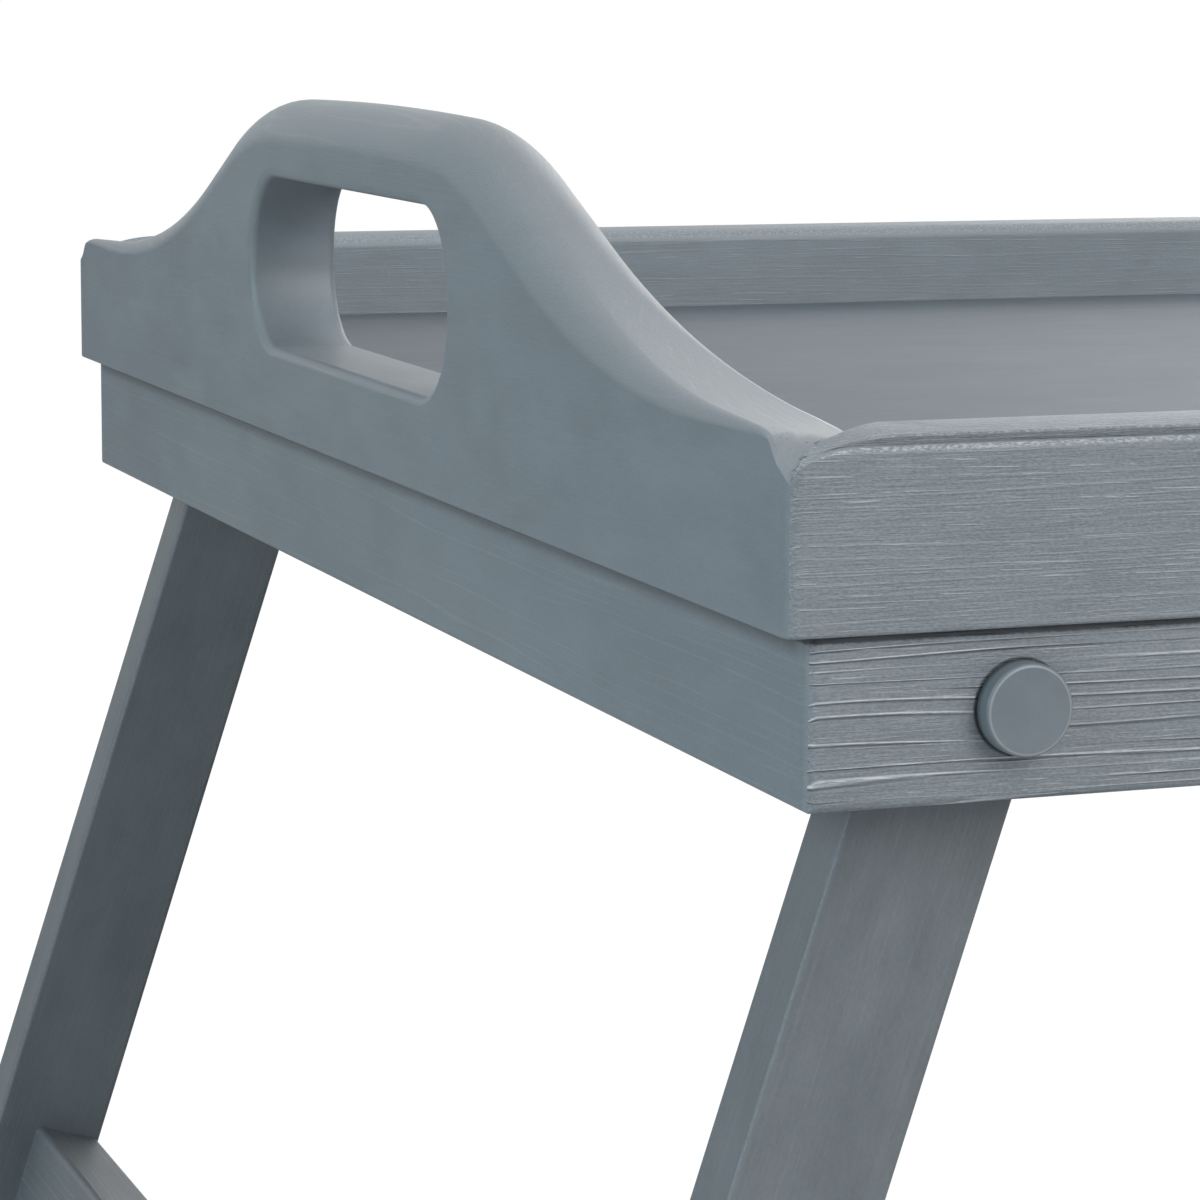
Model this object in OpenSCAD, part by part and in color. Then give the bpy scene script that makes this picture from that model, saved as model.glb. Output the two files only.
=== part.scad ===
// Folding bed tray table. A mitred tray with two humped end boards stands on an
// apron frame, and two splayed leg frames fold flat under the tray on pivot bolts.
// Origin on the floor below the middle of the tray, +X along the tray, +Z up.

/* [Tray] */
// Outer length of the tray, over the end boards
tray_l = 500; // [460:5:620]
// Outer depth of the tray, over the long rails
tray_d = 330; // [310:5:400]
// Thickness of an end board
end_t = 14; // [13:0.5:18]
// Thickness of a long rail
rail_t = 12; // [11:0.5:15]
// Height of a long rail, to the crest of its bead
rail_h = 22.4; // [21:0.2:30]
// Thickness of the tray panel
panel_t = 6; // [4:0.5:8]
// Wood left in the frame under the panel's groove
panel_up = 1.5; // [1:0.1:2.5]
// How far the panel is let into the frame
panel_lip = 4; // [3:0.5:5]
// Height that the panel's field stands up between the rails
panel_field = 0.8; // [0.4:0.1:1.5]
// Play between the panel and its groove
panel_play = 0.2; // [0.1:0.05:0.5]

/* [End board outline] */
// Height of the hump over the seam
hump_h = 51.4; // [50:0.2:56]
// Height of the shoulder at the tray's corner
shoulder_h = 21.8; // [20:0.1:22]
// Half length of the gently arched crest
crest_half = 36.5; // [33:0.5:40]
// Slope at the end of the crest
crest_angle = 1.4; // [1:0.1:3]
// Radius of the bend from crest to flank
crown_r = 68; // [60:1:76]
// Slope of the flank
flank_angle = 25.5; // [24.5:0.5:27.5]
// Radius of the hollow at the foot of the flank
foot_r = 164; // [150:2:176]
// Slope of the shoulder
shoulder_angle = 2; // [1.5:0.1:3]
// Width of the flat left along the hump's top between its two roundings
hump_flat = 0.4; // [0.2:0.1:8]
// Rounding of the outer top edge at the corners
corner_round = 0.8; // [0.5:0.1:2]
// Rounding of the inner top edge at the corners
inner_round = 0.8; // [0.5:0.1:4.5]
// Rise of the top across the board at the corners, to meet the bead
corner_lift = 0.4; // [0:0.1:1]
// Dip of the inner top edge past the corners
inner_dip = 2.1; // [0:0.1:2.4]

/* [Handle slot] */
// Length of the handle slot
slot_l = 96.5; // [80:0.5:110]
// Height of the handle slot
slot_h = 26; // [24.5:0.5:28]
// Wood left under the slot
slot_sill = 13.2; // [11:0.1:15]
// Corner radius of the slot
slot_r = 12; // [6:0.5:12]
// Rounding of the slot's rims
slot_ease = 1.4; // [0.6:0.1:2.5]

/* [Long rail bead] */
// Width of the ledge in front of the bead
ledge_w = 1.3; // [0.8:0.1:2.5]
// Drop from the bead's crest to the ledge
ledge_drop = 1.8; // [1:0.1:3]
// Radius of the bead's arched top
bead_r = 16; // [12:0.5:30]
// Rounding of the ledge's outer edge
ledge_round = 1; // [0.5:0.1:1.6]
// Rounding of the bead's inner edge
bead_round = 2.5; // [1:0.1:3.5]
// Radius of the curve that is sanded across each corner
sanding_r = 30; // [24:1:40]
// Reach of that curve from the corner's upright edge, along the diagonal
sanding_l = 16.2; // [12:0.2:18]
// Rounding of the tray's upright corners
arris_r = 1.6; // [0.5:0.1:3]

/* [Apron] */
// Thickness of the aprons
apron_t = 12; // [11:0.5:15]
// Height of the aprons
apron_h = 19.7; // [18:0.1:26]
// Set-back of the end aprons from the end boards
apron_in_x = 3.2; // [1.5:0.1:4]
// Set-back of the long aprons from the rails
apron_in_y = 1.6; // [0.8:0.1:3]
// Rounding of the aprons' lower edges
apron_ease = 1; // [0.3:0.1:1.5]

/* [Legs] */
// Width of a leg
leg_w = 19.5; // [16:0.5:22]
// Thickness of a leg
leg_t = 10; // [8:0.5:13]
// Splay of the open legs from upright
splay = 18; // [12:1:22]
// Free length between the feet of the two folded frames
fold_gap = 6; // [4:0.5:20]
// Gap between a folded leg and the tray panel over it
top_gap = 0.85; // [0.4:0.05:1.2]
// Rounding of the legs' long edges
leg_ease = 0.8; // [0.3:0.1:1.5]
// Gap between an open leg and the apron edge that stops it
stop_gap = 0.2; // [0.1:0.05:0.5]
// Pivot to the upper edge of the crossbar, along the leg
bar_drop = 136; // [100:1:150]
// Height of a crossbar, along the leg
bar_h = 20; // [16:0.5:24]
// Thickness of a crossbar
bar_t = 12; // [10:0.5:14]
// Rounding of the crossbar's long edges
bar_ease = 1.2; // [0.4:0.1:2]

/* [Pivot hardware] */
// Diameter of the pivot bolt's shank
bolt_d = 4; // [3:0.5:5]
// Diameter of the bolt's head
head_d = 7.6; // [7:0.1:8]
// Height of the bolt's head
head_h = 1.8; // [1.2:0.1:2]
// Diameter of the pivot cap
cap_d = 10.6; // [9.6:0.1:13]
// Height that the cap stands off the apron
cap_h = 2.8; // [2.6:0.1:4]
// Rounding of the cap's front edge
cap_ease = 0.5; // [0.2:0.1:0.8]
// Radial clearance of the bolt in its bores
bore_play = 0.05; // [0.02:0.01:0.1]
// Space between an apron and a leg
leg_gap = 0.6; // [0.5:0.1:1.5]
// Outer diameter of the washers
washer_d = 9; // [8:0.5:12]
// Thickness of the washer under the nut
nut_washer_t = 0.8; // [0.5:0.1:1.2]
// Width of the lock nut across its flats
nut_flats = 7; // [7:0.5:9]
// Height of the lock nut's hexagon
nut_h = 3.2; // [2.5:0.1:4]
// Height of the lock nut's collar
collar_h = 1.6; // [1:0.1:2.5]

/* [Joinery] */
// Diameter of the frame screws
screw_d = 3; // [2.5:0.1:3.2]
// Reach of the frame screws into the tray's frame
screw_bite = 9.3; // [7:0.1:11]
// Diameter of the frame screws' heads
screw_head_d = 5.6; // [5:0.1:5.8]
// Distance of a screw from the apron's outer face
screw_edge = 4; // [3.8:0.1:4.4]
// Spacing of the screws along a long apron
screw_pitch_l = 170; // [120:5:200]
// Spacing of the screws along an end apron
screw_pitch_d = 200; // [120:5:240]
// Diameter of the crossbar dowels
dowel_d = 5; // [4:0.5:6]
// Spacing of the two dowels in a crossbar end
dowel_pitch = 10; // [8:0.5:12]
// Depth of a dowel in the leg
dowel_in_leg = 6.5; // [4:0.5:7]
// Depth of a dowel in the crossbar
dowel_in_bar = 14; // [8:1:25]
// Length of a wing of a corner nail
nail_w = 5; // [3:0.5:6]
// Thickness of a corner nail
nail_t = 0.6; // [0.4:0.1:1]
// Height of a corner nail
nail_h = 9; // [5:0.5:12]

/* [Hidden] */

// Colours of the finish
paint = [0.46, 0.51, 0.55];
cap_grey = [0.42, 0.47, 0.51];
steel = [0.75, 0.76, 0.78];
nylon = [0.85, 0.85, 0.82];
beech = [0.78, 0.63, 0.45];

// Directions that a quadrant is mirrored to
LEFT = 0;
RIGHT = 1;
FRONT = 0;
BACK = 1;

// Overrun of a cut past the face that it leaves
over = 1;
// Play around glued dowels, screws and nails
glue_play = 0.05;
// Face play of the washers and nuts
face_play = 0.05;
// Gap between the cap's rim and the apron, and between the cap and the bolt's head
cap_gap = 0.2;
// Share of the width between the bead's outer edge and its crest
bead_crest_share = 0.48;
// Length over which an end board's edge rounding fades towards the corner
round_fade = 95;
// Length at the corner that keeps the smallest rounding
round_keep = 7;
// Length past the rail over which the inner top edge dips
dip_run = 10;
// Free end of the bolt past the nut
bolt_tip = 0.8;
// Width and depth of the socket in the bolt's head
socket_w = 2.5;
socket_h = 1;
// Depth of the screws' countersinks and of the cross in their heads
sink_h = 1.6;
cross_w = 3;
cross_t = 0.7;
cross_h = 0.8;
// Distance of a corner nail's bend from the mitre's outer corner, each way
nail_in = 4.4;
// Chamfer at the tips of dowels, screws and bolts
tip_cut = 0.5;

// Steps of the lofted curves
ARC_STEPS = 6;
ROUND_STEPS = 4;
SLOT_STEPS = 7;

half_l = tray_l / 2;
half_d = tray_d / 2;

// Pivot: the open leg's outer face rests on the inner lower edge of the end apron
pivot_drop = leg_w / 2 + top_gap - panel_up;
edge_give = apron_ease * (cos(splay) + sin(splay) - 1);
stop_reach = leg_w / 2 + stop_gap - edge_give + (apron_h - pivot_drop) * sin(splay);
pivot_in = apron_in_x + apron_t + stop_reach / cos(splay);
pivot_x = half_l - pivot_in;
foot_slant = leg_w / 2 * tan(splay);
leg_reach = pivot_x - fold_gap / 2 - foot_slant;
pivot_z = leg_reach * cos(splay);
seam_z = pivot_z + pivot_drop;

apron_x = half_l - apron_in_x;
apron_y = half_d - apron_in_y;
leg_y = apron_y - apron_t - leg_gap;
bar_l = 2 * (leg_y - leg_t);
ledge_z = rail_h - ledge_drop;
groove_h = panel_t - panel_field + panel_play;
washer_t = leg_gap - 2 * face_play;
nut_at = apron_t + leg_gap + leg_t + nut_washer_t + 2 * face_play;
bolt_l = nut_at + nut_h + collar_h + bolt_tip;
screw_l = apron_h + screw_bite;
screw_at_x = apron_x - screw_edge;
screw_at_y = apron_y - screw_edge;

// Rounding of the hump's top edges, nearly a full round
hump_round = (end_t - hump_flat) / 2;

// Outline of an end board, from the middle of the hump out to the corner
crest_r = crest_half / sin(crest_angle);
crest_fall = crest_r * (1 - cos(crest_angle));
crown_run = crown_r * (sin(flank_angle) - sin(crest_angle));
crown_fall = crown_r * (cos(crest_angle) - cos(flank_angle));
foot_run = foot_r * (sin(flank_angle) - sin(shoulder_angle));
foot_fall = foot_r * (cos(shoulder_angle) - cos(flank_angle));
free_run = half_d - crest_half - crown_run - foot_run;
free_fall = hump_h - shoulder_h - crest_fall - crown_fall - foot_fall;
flank_run = (free_fall - free_run * tan(shoulder_angle)) / (tan(flank_angle) - tan(shoulder_angle));
crown_at = crest_half;
flank_at = crown_at + crown_run;
foot_at = flank_at + flank_run;
shoulder_at = foot_at + foot_run;
crown_z = hump_h - crest_fall;
flank_z = crown_z - crown_fall;
foot_z = flank_z - flank_run * tan(flank_angle);

function sweep(a, b, n) = [for (i = [0:n]) a + (b - a) * i / n];

function crest_points() = [for (a = sweep(0, crest_angle, ARC_STEPS))
    [crest_r * sin(a), hump_h - crest_r * (1 - cos(a))]];

function crown_points() = [for (a = sweep(crest_angle, flank_angle, ARC_STEPS))
    [crown_at + crown_r * (sin(a) - sin(crest_angle)),
     crown_z - crown_r * (cos(crest_angle) - cos(a))]];

function foot_points() = [for (a = sweep(flank_angle, shoulder_angle, ARC_STEPS))
    [foot_at + foot_r * (sin(flank_angle) - sin(a)),
     foot_z - foot_r * (cos(a) - cos(flank_angle))]];

function shoulder_points() = [for (u = skip_first(sweep(shoulder_at, half_d, ARC_STEPS)))
    [u, shoulder_h + (half_d - u) * tan(shoulder_angle)]];

function skip_first(v) = [for (i = [1:len(v) - 1]) v[i]];

function half_outline() = concat(crest_points(), skip_first(crown_points()),
    foot_points(), shoulder_points());

function mirrored(v) = [for (i = [len(v) - 1:-1:1]) [-v[i][0], v[i][1]]];

function board_outline() = concat(mirrored(half_outline()), half_outline());

// Share of the hump's form that is left at one place, none at the corners
function hump_share(u) = min(1, max(0, (half_d - abs(u) - round_keep) / round_fade));
function blend(corner, hump, u) = corner + (hump - corner) * hump_share(u);
function dip_share(u) = min(1, max(0, (half_d - abs(u) - rail_t) / dip_run));

// Section of an end board at one place along it, across its thickness
function board_section(p) = let (
        u = p[0],
        outer = blend(corner_round, hump_round, u),
        inner = blend(inner_round, hump_round, u),
        top = p[1] + blend(corner_lift - inner_dip * dip_share(u), 0, u))
    concat(
        [[0, u, 0]],
        [for (a = sweep(0, 90, ROUND_STEPS)) [outer * (1 - cos(a)), u, p[1] - outer * (1 - sin(a))]],
        [for (a = sweep(90, 0, ROUND_STEPS)) [end_t - inner * (1 - cos(a)), u, top - inner * (1 - sin(a))]],
        [[end_t, u, 0]]);

// Ring of the handle slot, grown all round, at one depth in the board
function slot_ring(grow, x) = let (cy = slot_l / 2 - slot_r, cz = slot_h / 2 - slot_r, r = slot_r + grow)
    [for (q = [[1, 1, 0], [-1, 1, 90], [-1, -1, 180], [1, -1, 270]])
        for (a = sweep(q[2], q[2] + 90, SLOT_STEPS))
            [x, q[0] * cy + r * cos(a), slot_sill + slot_h / 2 + q[1] * cz + r * sin(a)]];

// Solid through a row of rings that have the same number of points
module loft(rings) {
    n = len(rings[0]);
    m = len(rings);
    polyhedron(
        points = [for (r = rings) each r],
        faces = concat(
            [[for (i = [0:n - 1]) i]],
            [[for (i = [n - 1:-1:0]) (m - 1) * n + i]],
            [for (k = [0:m - 2]) for (i = [0:n - 1]) [k * n + i, (k + 1) * n + i, k * n + (i + 1) % n]],
            [for (k = [0:m - 2]) for (i = [0:n - 1])
                [(k + 1) * n + i, (k + 1) * n + (i + 1) % n, k * n + (i + 1) % n]]));
}

// Rectangle with round corners, centred
module round_rect(w, h, r) {
    square([w - 2 * r, h], center = true);
    square([w, h - 2 * r], center = true);
    for (x = [-1, 1], y = [-1, 1])
        translate([x * (w / 2 - r), y * (h / 2 - r)]) circle(r, $fn = 32);
}

// Places children in one corner of the tray, from the front left one
module corner_at(side, face) {
    mirror([side, 0, 0]) mirror([0, face, 0]) children();
}

// Plan of a mitred frame: a rectangle with the upright corners rounded
module frame_plan(l, d) {
    round_rect(l, d, arris_r);
}

// Plan of the front member of a mitred frame, from corner to corner
module front_plan(l, d, tx, ty) {
    intersection() {
        frame_plan(l, d);
        polygon([[-l / 2, -d / 2], [l / 2, -d / 2], [l / 2 - tx, ty - d / 2], [tx - l / 2, ty - d / 2]]);
    }
}

// Plan of the left member of a mitred frame
module left_plan(l, d, tx, ty) {
    intersection() {
        frame_plan(l, d);
        polygon([[-l / 2, -d / 2], [tx - l / 2, ty - d / 2], [tx - l / 2, d / 2 - ty], [-l / 2, d / 2]]);
    }
}

// V-shaped nail across a mitre, or the cut for it
module corner_nail(play) {
    for (a = [0, 1])
        mirror([a, -a, 0])
            translate([-nail_t / 2 - play, -nail_t / 2 - play, 0])
                cube([nail_w + nail_t / 2 + 2 * play, nail_t + 2 * play, nail_h + play]);
}

module tray_nails(play) {
    for (s = [LEFT, RIGHT], f = [FRONT, BACK])
        corner_at(s, f)
            translate([nail_in - half_l, nail_in * rail_t / end_t - half_d, seam_z])
                corner_nail(play);
}

module apron_nails(play) {
    for (s = [LEFT, RIGHT], f = [FRONT, BACK])
        corner_at(s, f)
            translate([nail_in - apron_x, nail_in - apron_y, seam_z])
                mirror([0, 0, 1]) corner_nail(play);
}

// Countersunk screw with a plain shank, head down, or the hole for it
module screw_solid(play) {
    rotate_extrude($fn = 32)
        polygon([[0, 0], [screw_head_d / 2 + play, 0], [screw_d / 2 + play, sink_h],
            [screw_d / 2 + play, screw_l - tip_cut + play], [screw_d / 2 - tip_cut + play, screw_l + play],
            [0, screw_l + play]]);
}

module screw_places() {
    for (f = [FRONT, BACK], i = [-1:1])
        mirror([0, f, 0]) translate([i * screw_pitch_l, -screw_at_y, seam_z - apron_h]) children();
    for (s = [LEFT, RIGHT], i = [-1, 1])
        mirror([s, 0, 0]) translate([-screw_at_x, i * screw_pitch_d / 2, seam_z - apron_h]) children();
}

module screw_holes() {
    screw_places() {
        screw_solid(glue_play);
        translate([0, 0, -over]) cylinder(d = screw_head_d + 2 * glue_play, h = over, $fn = 32);
    }
}

// Panel with its rim let into the frame and its field standing up inside it
module tray_panel() {
    color(paint)
        translate([0, 0, seam_z + panel_up]) {
            linear_extrude(panel_t - panel_field) panel_plan(panel_play - panel_lip);
            linear_extrude(panel_t) panel_plan(panel_play);
        }
}

module panel_plan(inset) {
    square([tray_l - 2 * (end_t + inset), tray_d - 2 * (rail_t + inset)], center = true);
}

module panel_groove() {
    translate([end_t - panel_lip - half_l, rail_t - panel_lip - half_d, seam_z + panel_up])
        cube([tray_l - 2 * (end_t - panel_lip), tray_d - 2 * (rail_t - panel_lip), groove_h]);
}

// Cuts the smooth curve that is sanded across the tray's corners
module corner_sanding() {
    for (s = [LEFT, RIGHT], f = [FRONT, BACK])
        corner_at(s, f)
            translate([-half_l, -half_d, seam_z])
                rotate([90, 0, 45])
                    linear_extrude(2 * sanding_l, center = true)
                        difference() {
                            translate([-over, rail_h - sanding_r])
                                square([sanding_l + over, sanding_r + over]);
                            translate([sanding_l, rail_h - sanding_r]) circle(sanding_r, $fn = 128);
                        }
}

module slot_cut() {
    bore_side = [for (a = sweep(0, 90, ROUND_STEPS)) [slot_ease * (1 - sin(a)), slot_ease * (1 - cos(a))]];
    near = concat([[slot_ease, -over]], bore_side);
    far = [for (i = [len(bore_side) - 1:-1:0]) [bore_side[i][0], end_t - bore_side[i][1]]];
    loft([for (q = concat(near, far, [[slot_ease, end_t + over]])) slot_ring(q[0], q[1])]);
}

module end_board(side) {
    color(paint)
        mirror([side, 0, 0])
            difference() {
                intersection() {
                    translate([-half_l, 0, seam_z])
                        difference() {
                            loft([for (p = board_outline()) board_section(p)]);
                            slot_cut();
                        }
                    translate([0, 0, seam_z - over])
                        linear_extrude(hump_h + 2 * over) left_plan(tray_l, tray_d, end_t, rail_t);
                }
                panel_groove();
                corner_sanding();
                screw_holes();
                tray_nails(glue_play);
            }
}

// Section of a long rail: ledge, small riser and arched bead
module rail_section() {
    bead_c = ledge_w + (rail_t - ledge_w) * bead_crest_share;
    bead_edge = rail_t - bead_round;
    bead_edge_z = rail_h - bead_r + sqrt(pow(bead_r, 2) - pow(bead_edge - bead_c, 2)) - bead_round;
    translate([ledge_round, 0]) square([rail_t - ledge_round, ledge_z]);
    square([ledge_round, ledge_z - ledge_round]);
    translate([ledge_round, ledge_z - ledge_round]) circle(ledge_round, $fn = 32);
    intersection() {
        union() {
            translate([ledge_w, 0]) square([bead_edge - ledge_w, rail_h]);
            translate([ledge_w, 0]) square([rail_t - ledge_w, bead_edge_z]);
            translate([bead_edge, bead_edge_z]) circle(bead_round, $fn = 32);
        }
        translate([bead_c, rail_h - bead_r]) circle(bead_r, $fn = 96);
    }
    translate([ledge_round, 0]) square([rail_t - ledge_round, bead_edge_z]);
}

module long_rail(face) {
    color(paint)
        mirror([0, face, 0])
            difference() {
                intersection() {
                    translate([-half_l, -half_d, seam_z])
                        rotate([90, 0, 90]) linear_extrude(tray_l) rail_section();
                    translate([0, 0, seam_z - over])
                        linear_extrude(rail_h + 2 * over) front_plan(tray_l, tray_d, end_t, rail_t);
                }
                panel_groove();
                corner_sanding();
                screw_holes();
                tray_nails(glue_play);
            }
}

// Section of an apron, with the lower edges eased
module apron_section() {
    translate([0, apron_ease]) square([apron_t, apron_h - apron_ease]);
    translate([apron_ease, 0]) square([apron_t - 2 * apron_ease, apron_h]);
    for (y = [apron_ease, apron_t - apron_ease])
        translate([y, apron_ease]) circle(apron_ease, $fn = 32);
}

// Place along a pivot's axis in a corner, from the apron's outer face inwards
module pivot_at(side, face) {
    corner_at(side, face) translate([-pivot_x, -apron_y, pivot_z]) rotate([-90, 0, 0]) children();
}

module long_apron(face) {
    color(paint)
        difference() {
            mirror([0, face, 0])
                intersection() {
                    translate([-apron_x, -apron_y, seam_z - apron_h])
                        rotate([90, 0, 90]) linear_extrude(2 * apron_x) apron_section();
                    translate([0, 0, seam_z - apron_h - over])
                        linear_extrude(apron_h + 2 * over)
                            front_plan(2 * apron_x, 2 * apron_y, apron_t, apron_t);
                }
            for (s = [LEFT, RIGHT])
                pivot_at(s, face)
                    translate([0, 0, -over])
                        cylinder(r = bolt_d / 2 + bore_play, h = apron_t + 2 * over, $fn = 48);
            screw_holes();
            apron_nails(glue_play);
        }
}

module end_apron(side) {
    color(paint)
        difference() {
            mirror([side, 0, 0])
                intersection() {
                    translate([-apron_x, apron_y, seam_z - apron_h])
                        rotate([90, 0, 0]) linear_extrude(2 * apron_y) apron_section();
                    translate([0, 0, seam_z - apron_h - over])
                        linear_extrude(apron_h + 2 * over)
                            left_plan(2 * apron_x, 2 * apron_y, apron_t, apron_t);
                }
            screw_holes();
            apron_nails(glue_play);
        }
}

module frame_screws() {
    color(steel)
        screw_places()
            difference() {
                screw_solid(0);
                for (a = [0, 90])
                    rotate(a) translate([-cross_w / 2, -cross_t / 2, -over])
                        cube([cross_w, cross_t, cross_h + over]);
            }
}

// Leg frame in its own place: pivot at the origin, leg hanging straight down
module leg_frame(side) {
    mirror([side, 0, 0]) translate([-pivot_x, 0, pivot_z]) rotate([0, splay, 0]) children();
}

module dowel_places() {
    for (i = [-1, 1])
        translate([leg_w / 2 - bar_t / 2, 0, i * dowel_pitch / 2 - bar_drop - bar_h / 2])
            children();
}

// Leg before its foot is cut: a round head about the pivot on a straight shank
module leg_blank() {
    rotate([90, 0, 0])
        rotate_extrude(angle = 180, $fn = 64)
            intersection() {
                round_rect(leg_w, leg_t, leg_ease);
                translate([0, -leg_t]) square([leg_w, 2 * leg_t]);
            }
    translate([0, 0, -leg_reach - foot_slant])
        linear_extrude(leg_reach + foot_slant) round_rect(leg_w, leg_t, leg_ease);
}

module leg(side, face) {
    color(paint)
        leg_frame(side)
            mirror([0, face, 0])
                difference() {
                    translate([0, leg_t / 2 - leg_y, 0]) leg_blank();
                    rotate([0, -splay, 0])
                        translate([-leg_reach, -leg_y - over, -pivot_z - leg_w])
                            cube([leg_reach, leg_t + 2 * over, leg_w]);
                    translate([0, -leg_y - over, 0])
                        rotate([-90, 0, 0])
                            cylinder(r = bolt_d / 2 + bore_play, h = leg_t + 2 * over, $fn = 48);
                    dowel_places()
                        translate([0, leg_t - leg_y - dowel_in_leg - glue_play, 0])
                            rotate([-90, 0, 0])
                                cylinder(r = dowel_d / 2 + glue_play, h = dowel_in_leg + over, $fn = 32);
                }
}

module crossbar(side) {
    color(paint)
        leg_frame(side)
            difference() {
                translate([leg_w / 2 - bar_t / 2, bar_l / 2, -bar_drop - bar_h / 2])
                    rotate([90, 0, 0]) linear_extrude(bar_l) round_rect(bar_t, bar_h, bar_ease);
                for (f = [FRONT, BACK])
                    mirror([0, f, 0]) dowel_places()
                        translate([0, -bar_l / 2 - over, 0])
                            rotate([-90, 0, 0])
                                cylinder(r = dowel_d / 2 + glue_play,
                                    h = over + dowel_in_bar + glue_play, $fn = 32);
            }
}

module bar_dowels(side) {
    color(beech)
        leg_frame(side)
            for (f = [FRONT, BACK])
                mirror([0, f, 0]) dowel_places()
                    translate([0, -bar_l / 2 - dowel_in_leg, 0])
                        rotate([-90, 0, 0])
                            rotate_extrude($fn = 32)
                                polygon([[0, 0], [dowel_d / 2 - tip_cut, 0], [dowel_d / 2, tip_cut],
                                    [dowel_d / 2, dowel_in_leg + dowel_in_bar - tip_cut],
                                    [dowel_d / 2 - tip_cut, dowel_in_leg + dowel_in_bar],
                                    [0, dowel_in_leg + dowel_in_bar]]);
}

module pivot_bolt(side, face) {
    color(steel)
        pivot_at(side, face)
            difference() {
                rotate_extrude($fn = 48)
                    polygon([[0, -head_h], [head_d / 2 - tip_cut, -head_h], [head_d / 2, tip_cut - head_h],
                        [head_d / 2, 0], [bolt_d / 2, 0], [bolt_d / 2, bolt_l - tip_cut],
                        [bolt_d / 2 - tip_cut, bolt_l], [0, bolt_l]]);
                translate([0, 0, -head_h - over])
                    cylinder(d = socket_w / cos(30), h = over + socket_h, $fn = 6);
            }
}

// Half section of the cap, round its axis: a shallow cup over the bolt's head
module cap_section() {
    difference() {
        union() {
            translate([0, -cap_h]) square([cap_d / 2 - cap_ease, cap_h - cap_gap]);
            translate([0, cap_ease - cap_h]) square([cap_d / 2, cap_h - cap_gap - cap_ease]);
            translate([cap_d / 2 - cap_ease, cap_ease - cap_h]) circle(cap_ease, $fn = 32);
        }
        translate([0, -head_h - cap_gap]) square([head_d / 2 + cap_gap, head_h + cap_gap]);
    }
}

module pivot_cap(side, face) {
    color(cap_grey)
        pivot_at(side, face)
            rotate_extrude($fn = 64) cap_section();
}

module ring(t) {
    difference() {
        cylinder(d = washer_d, h = t, $fn = 48);
        translate([0, 0, -over]) cylinder(r = bolt_d / 2 + 2 * bore_play, h = t + 2 * over, $fn = 48);
    }
}

module pivot_washer(side, face) {
    color(nylon)
        pivot_at(side, face)
            translate([0, 0, apron_t + face_play]) ring(washer_t);
}

module nut_washer(side, face) {
    color(steel)
        pivot_at(side, face)
            translate([0, 0, apron_t + leg_gap + leg_t + face_play]) ring(nut_washer_t);
}

module lock_nut(side, face) {
    color(steel)
        pivot_at(side, face)
            translate([0, 0, nut_at])
                difference() {
                    union() {
                        cylinder(d = nut_flats / cos(30), h = nut_h, $fn = 6);
                        translate([0, 0, nut_h]) cylinder(d = nut_flats - tip_cut, h = collar_h, $fn = 48);
                    }
                    translate([0, 0, -over])
                        cylinder(r = bolt_d / 2 + bore_play, h = nut_h + collar_h + 2 * over, $fn = 48);
                }
}

module corner_nails_tray() {
    color(steel) tray_nails(0);
}

module corner_nails_apron() {
    color(steel) apron_nails(0);
}

tray_panel();
end_board(LEFT);  // end_board_left
end_board(RIGHT);  // end_board_right
long_rail(FRONT);  // rail_front
long_rail(BACK);  // rail_back
long_apron(FRONT);  // apron_front
long_apron(BACK);  // apron_back
end_apron(LEFT);  // apron_left
end_apron(RIGHT);  // apron_right
corner_nails_tray();
corner_nails_apron();
frame_screws();
leg(LEFT, FRONT);  // leg_front_left
leg(LEFT, BACK);  // leg_back_left
leg(RIGHT, FRONT);  // leg_front_right
leg(RIGHT, BACK);  // leg_back_right
crossbar(LEFT);  // crossbar_left
crossbar(RIGHT);  // crossbar_right
bar_dowels(LEFT);  // bar_dowels_left
bar_dowels(RIGHT);  // bar_dowels_right
pivot_bolt(LEFT, FRONT);  // pivot_bolt_front_left
pivot_bolt(LEFT, BACK);  // pivot_bolt_back_left
pivot_bolt(RIGHT, FRONT);  // pivot_bolt_front_right
pivot_bolt(RIGHT, BACK);  // pivot_bolt_back_right
pivot_cap(LEFT, FRONT);  // pivot_cap_front_left
pivot_cap(LEFT, BACK);  // pivot_cap_back_left
pivot_cap(RIGHT, FRONT);  // pivot_cap_front_right
pivot_cap(RIGHT, BACK);  // pivot_cap_back_right
pivot_washer(LEFT, FRONT);  // pivot_washer_front_left
pivot_washer(LEFT, BACK);  // pivot_washer_back_left
pivot_washer(RIGHT, FRONT);  // pivot_washer_front_right
pivot_washer(RIGHT, BACK);  // pivot_washer_back_right
nut_washer(LEFT, FRONT);  // nut_washer_front_left
nut_washer(LEFT, BACK);  // nut_washer_back_left
nut_washer(RIGHT, FRONT);  // nut_washer_front_right
nut_washer(RIGHT, BACK);  // nut_washer_back_right
lock_nut(LEFT, FRONT);  // lock_nut_front_left
lock_nut(LEFT, BACK);  // lock_nut_back_left
lock_nut(RIGHT, FRONT);  // lock_nut_front_right
lock_nut(RIGHT, BACK);  // lock_nut_back_right
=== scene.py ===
"""Finish of a folding bed tray table: painted bamboo tray, apron, splayed legs and pivots."""

import math  # noqa: E402

import bmesh  # noqa: E402
import bpy  # noqa: E402
from bpy.props import FloatProperty, FloatVectorProperty, PointerProperty  # noqa: E402
from mathutils import Matrix, Vector  # noqa: E402


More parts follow.
